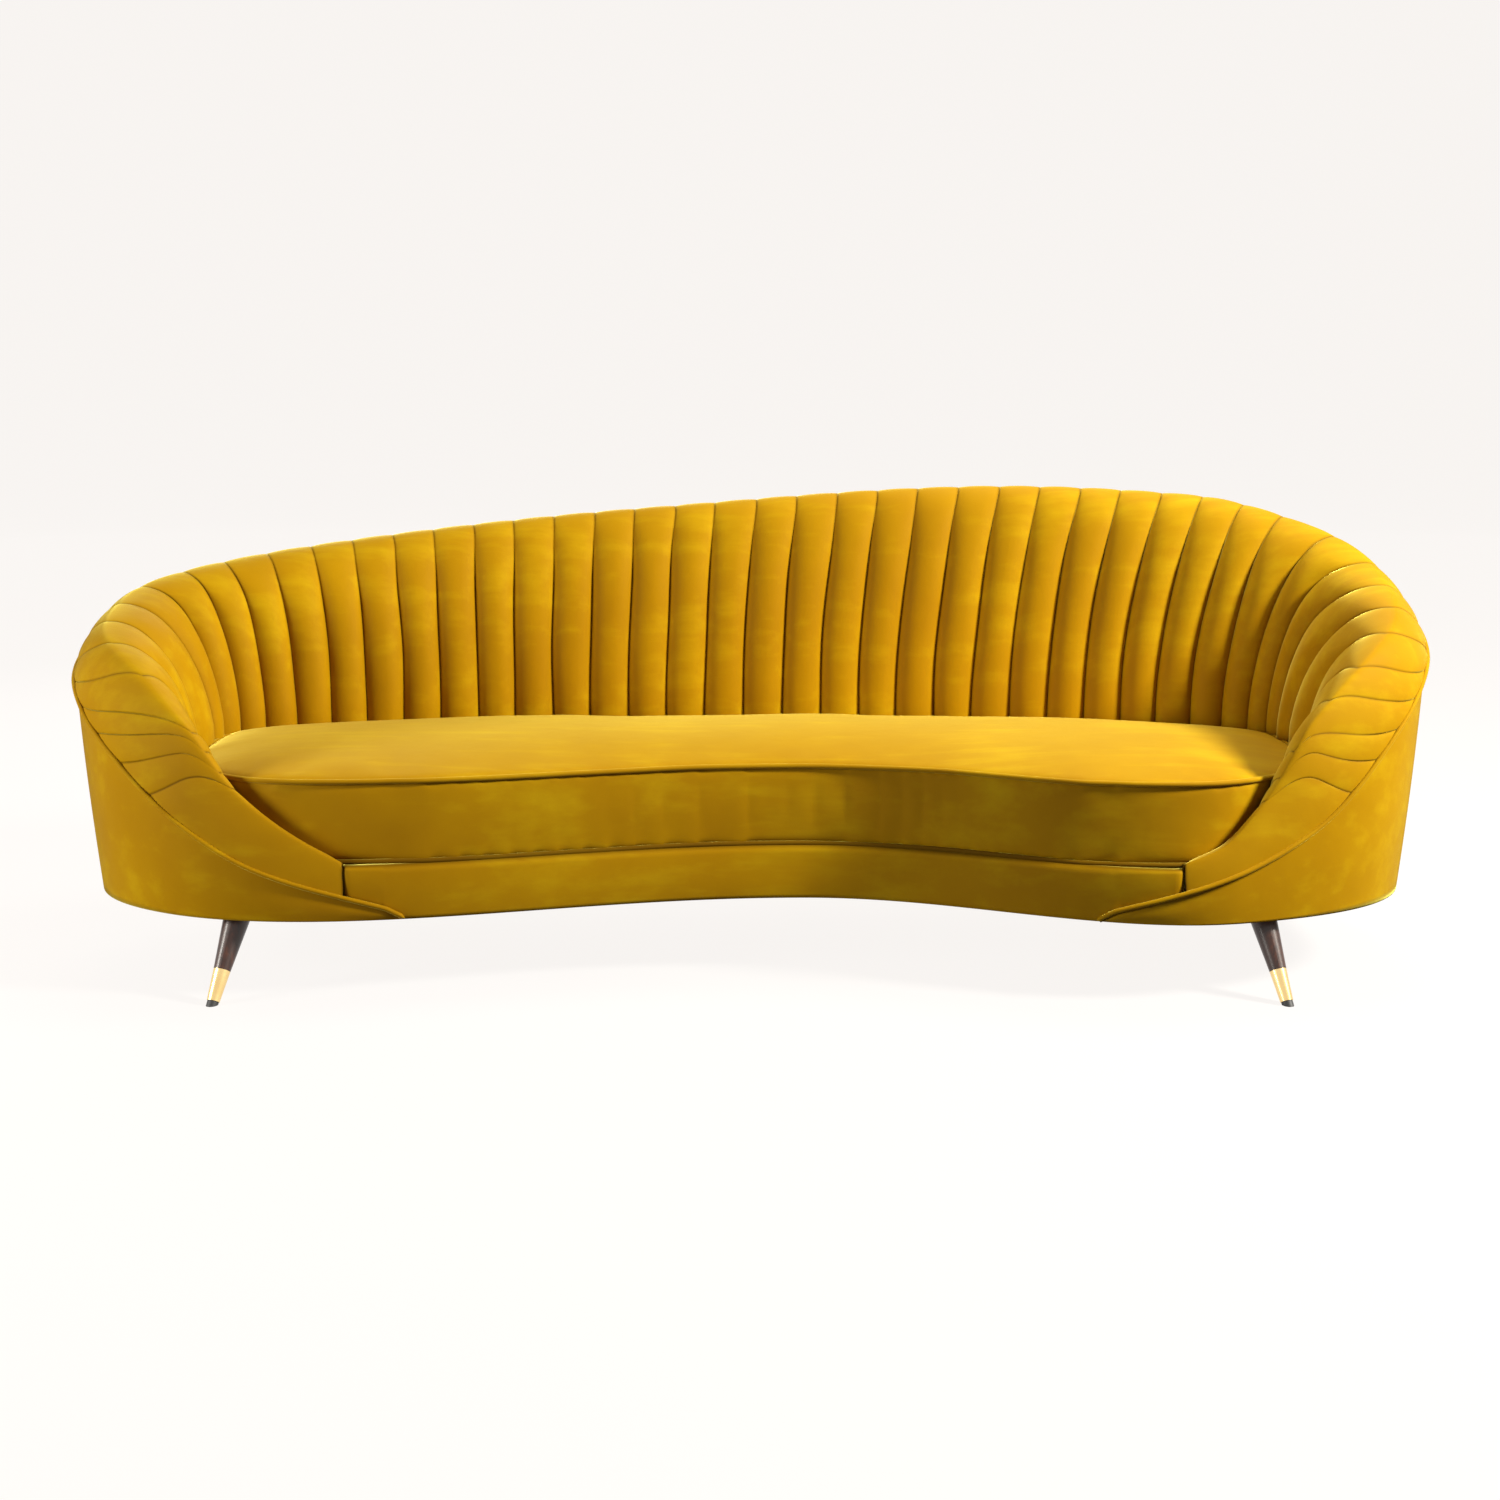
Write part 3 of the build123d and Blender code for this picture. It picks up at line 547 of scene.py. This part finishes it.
# Painted shade in the two upright seams.
seam_shade = sum(np.exp(-((w_grid - seam) * SHELL_LENGTH / 0.003) ** 2) for seam in OUTSIDE_SEAMS)
ground, outward = at(w_grid)
panel = np.dstack([ground + outward * n[..., None], level + np.where(v_grid < 0, 0.0006, 0)])
outside_cover = sheet_object("outside_cover", panel, seam_shade)
outside_cover.data.flip_normals()
thicken(outside_cover)
outside_cover.data.materials.append(velvet)
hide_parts(*[f"outside_panel_{k:02d}" for k in range(1, 7)])
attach(outside_cover, BODY)


# ---- Outside welt ----
# A cord covered in the same velvet, sewn in between the channelled cover and the outside panels. It
# climbs from the hem at one front corner, round under the ridge, and down to the other.
WELT_R = 0.0042
WELT_TIP = 0.007
WELT_LIFT = 0.003
WELT_PROUD = 0.0035


def face_outwards(mesh):
    work = bmesh.new()
    work.from_mesh(mesh)
    bmesh.ops.recalc_face_normals(work, faces=work.faces)
    work.to_mesh(mesh)
    work.free()


def tube(name, path, radius, closed=False):
    """Round cord along points, with narrow ends unless it closes on itself."""
    sides = 10
    if closed:
        along = np.roll(path, -1, 0) - np.roll(path, 1, 0)
    else:
        along = np.gradient(path, axis=0)
    along /= np.linalg.norm(along, axis=1, keepdims=True)
    side = np.cross(along, (0, 0, 1.0))
    side /= np.linalg.norm(side, axis=1, keepdims=True)
    lift = np.cross(side, along)
    sizes = np.full(len(path), radius)
    if not closed:
        sizes[0] = sizes[-1] = radius * 0.15
    turns = np.linspace(0, 2 * math.pi, sides, endpoint=False)
    ring = (path[:, None] + sizes[:, None, None] * (np.cos(turns)[None, :, None] * side[:, None]
                                                  + np.sin(turns)[None, :, None] * lift[:, None]))
    count = len(path)
    faces = []
    for i in range(count if closed else count - 1):
        k = (i + 1) % count
        for j in range(sides):
            m = (j + 1) % sides
            faces.append((i * sides + j, i * sides + m, k * sides + m, k * sides + j))
    if not closed:
        faces.append(tuple(range(sides)))
        faces.append(tuple((count - 1) * sides + j for j in reversed(range(sides))))
    mesh = bpy.data.meshes.new(name)
    mesh.from_pydata(ring.reshape(-1, 3).tolist(), [], faces)
    face_outwards(mesh)
    mesh.polygons.foreach_set("use_smooth", np.ones(len(mesh.polygons), bool))
    piece = bpy.data.objects.new(name, mesh)
    bpy.context.scene.collection.objects.link(piece)
    return piece


w = np.linspace(-WELT_TIP, 1 + WELT_TIP, 760)
inside = np.clip(w, 0, 1)
taper = np.clip(1 - np.abs(w - inside) / WELT_TIP, 0.0, 1)
level = HEM + WELT_LIFT + (welt_rise(inside) - HEM) * taper
ground, outward = at(w)
path = np.column_stack([ground + outward * (panel_outside(inside, level) + WELT_PROUD)[:, None], level])
outside_welt = tube("outside_welt_cord", path, WELT_R)
outside_welt.data.materials.append(velvet)
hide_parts("outside_welt")
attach(outside_welt, BODY)


# ---- Front border ----
# The velvet band on the front rail, from the hem up to the deck. Its ends are sewn upright to the
# channelled cover, and the outside welt crosses its lower corners.
BORDER_SWELL = 0.003
BORDER_UNEVEN = 0.0012
END_DIP = 0.007

across = np.concatenate([np.linspace(SHELL_END, 1, 20), np.linspace(1, LOOP, 300)[1:-1],
                         np.linspace(LOOP, LOOP + SHELL_START, 16)])
up = np.concatenate([[-0.3, -0.15], np.linspace(0, 1, 15), [1.06, 1.12]])
w_grid, v_grid = np.meshgrid(across, up, indexing="ij")
round_loop = np.mod(w_grid, LOOP)
beside = np.where(round_loop <= 1, np.minimum(round_loop, 1 - round_loop), 0)
cut = np.where(round_loop <= 1, welt_rise(round_loop) + 0.002 - HEM, 0)
cut = np.where(beside > 0, cut, 0)
foot = HEM + np.maximum(cut, 0)
v = np.clip(v_grid, 0, 1)
level = foot + (BORDER_TOP - foot) * v
n = BORDER_SWELL * np.sin(math.pi * v) ** 0.7
n = n - 0.003 * np.clip((v - 0.93) / 0.07, 0, 1) ** 2
n = n + BORDER_UNEVEN * ripple(w_grid * SHELL_LENGTH * 1.5, level * 3, 31) * np.sin(math.pi * v)
n = n + np.where(v_grid < 0, v_grid * 0.06, 0) - np.where(v_grid > 1, (v_grid - 1) * 0.12, 0)
edge = np.minimum(w_grid - SHELL_END, LOOP + SHELL_START - w_grid) * SHELL_LENGTH
n = n - END_DIP * np.clip(1 - edge / 0.012, 0, 1) ** 2
ground, outward = at(w_grid)
band = np.dstack([ground + outward * n[..., None], level])
# Painted shade along the two end seams, and along the top edge where it rolls under the cushion.
seam_shade = np.clip(1 - edge / 0.003, 0, 1) + np.clip((v_grid - 0.97) / 0.03, 0, 1) * 0.8
border = sheet_object("front_border_cover", band, np.clip(seam_shade, 0, 1))
border.data.flip_normals()
thicken(border)
border.data.materials.append(velvet)
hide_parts("front_border")
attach(border, BODY)


# ---- Bench seat cushion ----
# Loose foam cushion in a boxed velvet cover. The top is crowned and the boxing swells a little
# between the two welts. It fills the well between the arms and rests on the deck.
LOOSE = "seat_cushion_body"
cushion_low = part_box("seat_cushion")[0]
WELT_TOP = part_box("cushion_welt_top")[1].z
CUSHION_GAP = 0.001
EDGE_INSET = 0.003
FRONT_OVERHANG = 0.010
CUSHION_VOXEL = 0.012
CROWN = 0.026
CROWN_SPREAD = 0.075
CUSHION_UNEVEN = 0.0022
TOP_GIVE = 0.012
SIDE_GIVE = 0.0035
SIMULATION_STEPS = 20


def cushion_edge(w, inset):
    """Plan points of the cushion's edge, inset metres inside it."""
    w = np.asarray(w, float)
    ground, outward = at(w)
    loop = np.mod(w, LOOP)
    forward = np.clip(np.minimum(loop - 1, LOOP - loop) * SHELL_LENGTH / 0.08, 0, 1)
    front = SEAT_OUT[0][1] / 1000 + FRONT_OVERHANG * forward * forward * (3 - 2 * forward)
    offset = np.where(loop <= 1, seat_out(np.clip(loop, 0, 1)), front) - CUSHION_GAP
    return ground + outward * (offset - inset)[..., None]


def plain_block(name, edge, bottom, top):
    """Closed block over a plan outline."""
    count = len(edge)
    low = [(x, y, bottom) for x, y in edge]
    high = [(x, y, top) for x, y in edge]
    faces = [tuple(range(count)), tuple(range(count, 2 * count))]
    faces += [(i, (i + 1) % count, count + (i + 1) % count, count + i) for i in range(count)]
    mesh = bpy.data.meshes.new(name)
    mesh.from_pydata(low + high, [], faces)
    face_outwards(mesh)
    piece = bpy.data.objects.new(name, mesh)
    bpy.context.scene.collection.objects.link(piece)
    return piece


def remesh(piece, voxel):
    grid = piece.modifiers.new("even_mesh", "REMESH")
    grid.mode = "VOXEL"
    grid.voxel_size = voxel
    apply_all(piece)


def vertices(piece):
    co = np.empty(len(piece.data.vertices) * 3)
    piece.data.vertices.foreach_get("co", co)
    return co.reshape(-1, 3)


def set_vertices(piece, co):
    piece.data.vertices.foreach_set("co", co.reshape(-1))
    piece.data.update()


def edge_distance(points, loop):
    """Distance in plan from each point to the nearest point of an outline."""
    tree = kdtree.KDTree(len(loop))
    for k, (x, y) in enumerate(loop):
        tree.insert((x, y, 0), k)
    tree.balance()
    return np.array([tree.find((x, y, 0))[2] for x, y in points])


loop_w = np.linspace(0, LOOP, 900, endpoint=False)
sewn_edge = cushion_edge(loop_w, EDGE_INSET)
cushion = plain_block("seat_cushion_cover", sewn_edge, cushion_low.z + 0.0015, WELT_TOP - 0.002)
remesh(cushion, CUSHION_VOXEL)
co = vertices(cushion)
gap = edge_distance(co[:, :2], cushion_edge(loop_w, 0.0))
mid = (cushion_low.z + WELT_TOP) / 2
half = (WELT_TOP - cushion_low.z) / 2
on_top = co[:, 2] > WELT_TOP - 0.006
crown = CROWN * (1 - np.exp(-gap / CROWN_SPREAD))
crown = crown + CUSHION_UNEVEN * ripple(co[:, 0] * 0.9, co[:, 1] * 0.9, 41)
co[:, 2] += np.where(on_top, crown, 0)
set_vertices(cushion, co)
still = cushion.vertex_groups.new(name="sewn")
edge_points = np.where((gap < 0.016) & (np.abs(co[:, 2] - mid) > half - 0.018))[0]
base_points = np.where(co[:, 2] < cushion_low.z + 0.008)[0]
still.add([int(i) for i in set(edge_points) | set(base_points)], 1.0, "REPLACE")
cloth = cushion.modifiers.new("stuffing", "CLOTH")
cloth.settings.quality = 5
cloth.settings.use_pressure = True
cloth.settings.uniform_pressure_force = 4.0
cloth.settings.vertex_group_mass = "sewn"
cloth.settings.effector_weights.gravity = 0.0
cloth.settings.tension_stiffness = 18
cloth.settings.compression_stiffness = 18
cloth.settings.bending_stiffness = 2.0
cloth.point_cache.frame_start = 1
cloth.point_cache.frame_end = SIMULATION_STEPS
for tick in range(1, SIMULATION_STEPS + 1):
    bpy.context.scene.frame_set(tick)
apply_all(cushion)
bpy.context.scene.frame_set(1)
moved = vertices(cushion) - co
size = np.linalg.norm(moved, axis=1, keepdims=True)
cap = np.where(on_top, TOP_GIVE, SIDE_GIVE)[:, None]
moved *= np.minimum(1, cap / np.maximum(size, 1e-9))
set_vertices(cushion, co + moved)
finer = cushion.modifiers.new("finer", "SUBSURF")
finer.levels = finer.render_levels = 1
apply_all(cushion)
cushion.data.polygons.foreach_set("use_smooth", np.ones(len(cushion.data.polygons), bool))
cushion.data.materials.clear()
cushion.data.materials.append(velvet)
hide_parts("seat_cushion")
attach(cushion, LOOSE)


# ---- Cushion welts ----
# The covered cords sewn round the top and bottom edges of the cushion's boxing. The lower one sits
# in the joint with the border, further in, and is painted dark as shade; the top one a little.
CUSHION_WELT_R = 0.0046
CORD_UNEVEN = 0.0008
TOP_CORD_SHADE = 0.1
BOTTOM_CORD_SHADE = 0.9
for name, node, level, inset, painted_cord_shade in (
        ("cushion_cord_top", "cushion_welt_top", WELT_TOP - 0.004, EDGE_INSET, TOP_CORD_SHADE),
        ("cushion_cord_bottom", "cushion_welt_bottom", cushion_low.z + 0.0016, 0.0045, BOTTOM_CORD_SHADE)):
    edge = cushion_edge(loop_w, inset)
    heights = level + CORD_UNEVEN * ripple(edge[:, 0] * 2, edge[:, 1] * 2, 51)
    cord = tube(name, np.column_stack([edge, heights]), CUSHION_WELT_R, closed=True)
    # Painted shade: the same darkening all along each cord, strong on the bottom one.
    depth = cord.data.attributes.new("valley", "FLOAT", "POINT")
    depth.data.foreach_set("value", np.full(len(cord.data.vertices), painted_cord_shade))
    cord.data.materials.append(velvet)
    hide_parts(node)
    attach(cord, LOOSE)


# ---- Deck ----
# Felt over the springs under a plain gold deck cloth, tacked to the ring all round. It is seen
# only when the cushion is lifted.
deck_low, deck_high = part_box("deck_pad")
DECK_VOXEL = 0.011
DECK_SWELL = 0.0016


def deck_edge(w):
    ground, outward = at(w)
    loop = np.mod(w, LOOP)
    offset = np.where(loop <= 1, seat_out(np.clip(loop, 0, 1)), SEAT_OUT[0][1] / 1000) - 0.003
    return ground + outward * np.minimum(offset, -0.013)[..., None]


deck = plain_block("deck_cover", deck_edge(loop_w), deck_low.z + 0.0005, deck_high.z - 0.003)
remesh(deck, DECK_VOXEL)
co = vertices(deck)
soft = np.clip(edge_distance(co[:, :2], deck_edge(loop_w)) / 0.05, 0, 1)
swell = DECK_SWELL * soft * (1 + ripple(co[:, 0], co[:, 1], 61)) * 0.5
co[:, 2] += np.where(co[:, 2] > deck_high.z - 0.007, swell, 0)
set_vertices(deck, co)
deck.data.polygons.foreach_set("use_smooth", np.ones(len(deck.data.polygons), bool))


def weave_finish(name, light, dark, pitch, rough):
    """Plain woven cloth: two crossed thread waves, with slubs."""
    f = Finish(name)
    place = f.place()
    warp = f.node("ShaderNodeTexWave", {"bands_direction": "X"}, {"Vector": place, "Scale": pitch})["Fac"]
    weft = f.node("ShaderNodeTexWave", {"bands_direction": "Y"}, {"Vector": place, "Scale": pitch})["Fac"]
    threads = warp * 0.5 + weft * 0.5
    slub = f.noise(place, 60.0, 3.0, 0.6)
    colour = f.blend(threads * 0.5 + slub * 0.5, dark, light)
    return f.done(Base_Color=colour, Roughness=rough, Normal=f.bump(threads, 0.3, 0.0005))


deck_cloth = weave_finish("gold_deck_cloth", (0.50, 0.36, 0.10, 1), (0.33, 0.22, 0.05, 1), 160.0, 0.85)
deck.data.materials.clear()
deck.data.materials.append(deck_cloth)
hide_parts("deck_pad")
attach(deck, BODY)


# ---- Legs ----
# Turned hardwood tapers in a dark walnut stain, each with a brass ferrule and a nylon glide. The
# shapes are the CAD ones; here they get their grain and polish.
def walnut_finish(name):
    f = Finish(name)
    place = f.place()
    grain = f.noise(f.stretched(place, (60.0, 60.0, 5.0)), 3.0, 6.0, 0.62)
    pore = f.noise(f.stretched(place, (400.0, 400.0, 26.0)), 1.0, 3.0, 0.7)
    stops = [(0.30, (0.012, 0.003, 0.001, 1)), (0.55, (0.050, 0.012, 0.004, 1)),
             (0.78, (0.110, 0.030, 0.009, 1))]
    colour = f.node("ShaderNodeValToRGB", {"stops": stops}, {"Fac": grain})["Color"]
    colour = f.blend(pore * 0.45, colour, (0.010, 0.004, 0.002, 1))
    rough = 0.30 + grain * 0.14
    f.shader.inputs["Coat Weight"].default_value = 0.20
    f.shader.inputs["Coat Roughness"].default_value = 0.18
    return f.done(Base_Color=colour, Roughness=rough, Normal=f.bump(pore, 0.12, 0.0006))


def brass_finish(name):
    f = Finish(name)
    place = f.place()
    drawn = f.noise(f.stretched(place, (30.0, 30.0, 900.0)), 1.0, 2.0, 0.5)
    cloud = f.noise(place, 35.0, 3.0, 0.5)
    colour = f.blend(cloud, (0.90, 0.62, 0.24, 1), (0.95, 0.74, 0.36, 1))
    rough = 0.16 + drawn * 0.10 + cloud * 0.06
    return f.done(Base_Color=colour, Metallic=1.0, Roughness=rough, Normal=f.bump(drawn, 0.05, 0.0003))


def nylon_finish(name):
    f = Finish(name)
    grit = f.noise(f.place(), 420.0, 3.0, 0.6)
    colour = f.blend(grit, (0.010, 0.010, 0.011, 1), (0.035, 0.034, 0.033, 1))
    return f.done(Base_Color=colour, Roughness=0.45 + grit * 0.2, Normal=f.bump(grit, 0.2, 0.0004))


def dress(node, finish):
    """Give a CAD node its finish."""
    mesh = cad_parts[node].data
    mesh.materials.clear()
    mesh.materials.append(finish)


walnut = walnut_finish("walnut_stain")
brass = brass_finish("polished_brass")
nylon = nylon_finish("black_nylon")
for corner in ("front_left", "front_right", "rear_left", "rear_right"):
    dress(f"leg_{corner}", walnut)
    dress(f"ferrule_{corner}", brass)
    dress(f"glide_{corner}", nylon)


# ---- Frame and springs ----
# Birch plywood base, ring and ribs, sawn hardwood rails and blocks, zinc-plated springs and fixings.
# All of it is covered when the sofa stands complete, and has the plain finish of such parts.
def timber_finish(name, pale, dark, stretch):
    f = Finish(name)
    place = f.place()
    grain = f.noise(f.stretched(place, stretch), 2.0, 5.0, 0.6)
    fibre = f.noise(f.stretched(place, tuple(4 * s for s in stretch)), 3.0, 2.0, 0.6)
    colour = f.blend(grain * 1.6 - 0.3, pale, dark)
    return f.done(Base_Color=colour, Roughness=0.62 + fibre * 0.2, Normal=f.bump(fibre, 0.2, 0.0006))


def zinc_finish(name):
    f = Finish(name)
    spangle = f.noise(f.place(), 130.0, 4.0, 0.6)
    colour = f.blend(spangle, (0.42, 0.43, 0.44, 1), (0.66, 0.66, 0.64, 1))
    rough = 0.32 + spangle * 0.2
    return f.done(Base_Color=colour, Metallic=1.0, Roughness=rough, Normal=f.bump(spangle, 0.06, 0.0003))


birch = timber_finish("birch_plywood", (0.62, 0.45, 0.26, 1), (0.47, 0.31, 0.16, 1), (3.0, 26.0, 70.0))
sawn = timber_finish("sawn_hardwood", (0.50, 0.33, 0.18, 1), (0.36, 0.21, 0.10, 1), (4.0, 40.0, 40.0))
zinc = zinc_finish("zinc_plate")
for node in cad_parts:
    if node.startswith("back_rib") or node in ("base_panel", "deck_ring"):
        dress(node, birch)
for node in ("front_rail", "frame_blocks", "cross_rails", "top_rail"):
    dress(node, sawn)
for node in ("seat_springs", "spring_clips", "tie_wires", "leg_plates", "hanger_bolts", "plate_screws"):
    dress(node, zinc)


# ---- Dust cover ----
# Thin black cloth under the base, cut out round the leg plates. Wire staples hold it along its
# edge, all the way round.
STAPLE_INSET = 0.020
STAPLE_SPACING = 0.045
STAPLE_CROWN = 0.011
STAPLE_WIRE_R = 0.0007
STAPLE_BOW = -0.0009

cloth = weave_finish("black_dust_cloth", (0.030, 0.030, 0.031, 1), (0.012, 0.012, 0.013, 1), 220.0, 0.9)
dress("dust_cover", cloth)


def repeat_tree():
    """Geometry Nodes: copies of an item along a curve, turned to follow it, as one mesh."""
    tree = bpy.data.node_groups.new("repeat_along", "GeometryNodeTree")
    face = tree.interface
    face.new_socket(name="Line", in_out="INPUT", socket_type="NodeSocketGeometry")
    face.new_socket(name="Item", in_out="INPUT", socket_type="NodeSocketObject")
    face.new_socket(name="Spacing", in_out="INPUT", socket_type="NodeSocketFloat")
    face.new_socket(name="Finish", in_out="INPUT", socket_type="NodeSocketMaterial")
    face.new_socket(name="Pieces", in_out="OUTPUT", socket_type="NodeSocketGeometry")
    put = tree.nodes.new
    start = put("NodeGroupInput")
    end = put("NodeGroupOutput")
    even = put("GeometryNodeResampleCurve")
    even.mode = "LENGTH"
    item = put("GeometryNodeObjectInfo")
    tangent = put("GeometryNodeInputTangent")
    turn = put("FunctionNodeAlignRotationToVector")
    turn.axis = "X"
    copies = put("GeometryNodeInstanceOnPoints")
    real = put("GeometryNodeRealizeInstances")
    paint = put("GeometryNodeSetMaterial")
    join = tree.links.new
    join(start.outputs["Line"], even.inputs["Curve"])
    join(start.outputs["Spacing"], even.inputs["Length"])
    join(start.outputs["Item"], item.inputs["Object"])
    join(tangent.outputs["Tangent"], turn.inputs["Vector"])
    join(even.outputs["Curve"], copies.inputs["Points"])
    join(item.outputs["Geometry"], copies.inputs["Instance"])
    join(turn.outputs["Rotation"], copies.inputs["Rotation"])
    join(copies.outputs["Instances"], real.inputs["Geometry"])
    join(real.outputs["Geometry"], paint.inputs["Geometry"])
    join(start.outputs["Finish"], paint.inputs["Material"])
    join(paint.outputs["Geometry"], end.inputs["Pieces"])
    return tree


repeat_along = repeat_tree()


def rod(length, radius, bow):
    """Short bowed rod along X: a staple's crown or one stitch."""
    mesh = bpy.data.meshes.new("rod")
    sides = 6
    stops = (-0.5, -0.42, 0.0, 0.42, 0.5)
    rings = []
    for s in stops:
        size = radius * (0.35 if abs(s) == 0.5 else 1.0)
        sag = -bow if abs(s) == 0.5 else 0.0
        rings += [(s * length, size * math.cos(a), size * math.sin(a) + sag)
                  for a in (math.radians(360 / sides * i) for i in range(sides))]
    last = (len(stops) - 1) * sides
    faces = [(i + j, i + sides + j, i + sides + (j + 1) % sides, i + (j + 1) % sides)
             for i in range(0, last, sides) for j in range(sides)]
    faces += [tuple(range(sides)), tuple(reversed(range(last, last + sides)))]
    mesh.from_pydata(rings, [], faces)
    face_outwards(mesh)
    return bpy.data.objects.new("rod", mesh)


def repeated(name, lines, item, spacing, finish):
    """Run the tree along each line and keep the result as one plain mesh."""
    curve = bpy.data.curves.new(name, "CURVE")
    curve.dimensions = "3D"
    for line, closed in lines:
        spline = curve.splines.new("POLY")
        spline.points.add(len(line) - 1)
        spline.points.foreach_set("co", np.column_stack([line, np.ones(len(line))]).ravel())
        spline.use_cyclic_u = closed
    carrier = bpy.data.objects.new(name + "_line", curve)
    bpy.context.scene.collection.objects.link(carrier)
    bpy.context.scene.collection.objects.link(item)
    run = carrier.modifiers.new("repeat", "NODES")
    run.node_group = repeat_along
    values = {"Item": item, "Spacing": spacing, "Finish": finish}
    for socket in repeat_along.interface.items_tree:
        if socket.in_out == "INPUT" and socket.name in values:
            run[socket.identifier] = values[socket.name]
    mesh = plain_copy(carrier)
    bpy.data.objects.remove(carrier)
    bpy.data.objects.remove(item)
    piece = bpy.data.objects.new(name, mesh)
    bpy.context.scene.collection.objects.link(piece)
    return piece


ground, outward = at(np.linspace(0, LOOP, 400, endpoint=False))
staple_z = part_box("dust_cover")[0].z - 0.0004
line = np.column_stack([ground - outward * STAPLE_INSET, np.full(len(ground), staple_z)])
staple = rod(STAPLE_CROWN, STAPLE_WIRE_R, STAPLE_BOW)
staples = repeated("dust_cover_staples", [(line, True)], staple, STAPLE_SPACING, zinc)
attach(staples, BODY)


# ---- Topstitching ----
# Two rows of gold thread beside each upright seam of the outside back. They hold the seam's turned
# edges flat against the card behind it.
STITCH_ASIDE = 0.0055
STITCH_LENGTH = 0.0042
STITCH_SPACING = 0.0056
STITCH_PROUD = 0.0008
THREAD_R = 0.0006


def thread_finish(name):
    f = Finish(name)
    twist = f.noise(f.stretched(f.place(), (900.0, 900.0, 300.0)), 1.0, 2.0, 0.5)
    colour = f.blend(twist, (0.62, 0.40, 0.05, 1), (0.78, 0.56, 0.12, 1))
    return f.done(Base_Color=colour, Roughness=0.5 + twist * 0.2, Normal=f.bump(twist, 0.2, 0.0003))


thread = thread_finish("gold_thread")
lines = []
for seam in OUTSIDE_SEAMS:
    for aside in (-STITCH_ASIDE, STITCH_ASIDE):
        w = np.full(40, seam + aside / SHELL_LENGTH)
        level = np.linspace(HEM + 0.01, float(welt_rise(w[0])) - 0.012, 40)
        arch = np.sin(math.pi * (level - HEM) / (welt_rise(w) - HEM))
        swell = OUTSIDE_SWELL + OUTSIDE_UNEVEN * ripple(w * SHELL_LENGTH * 1.6, level * 0.6, 21)
        n = panel_outside(w, level) + STITCH_PROUD + swell * arch
        ground, outward = at(w)
        lines.append((np.column_stack([ground + outward * n[:, None], level]), False))
stitch = rod(STITCH_LENGTH, THREAD_R, 0.0)
stitches = repeated("outside_back_stitches", lines, stitch, STITCH_SPACING, thread)
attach(stitches, BODY)
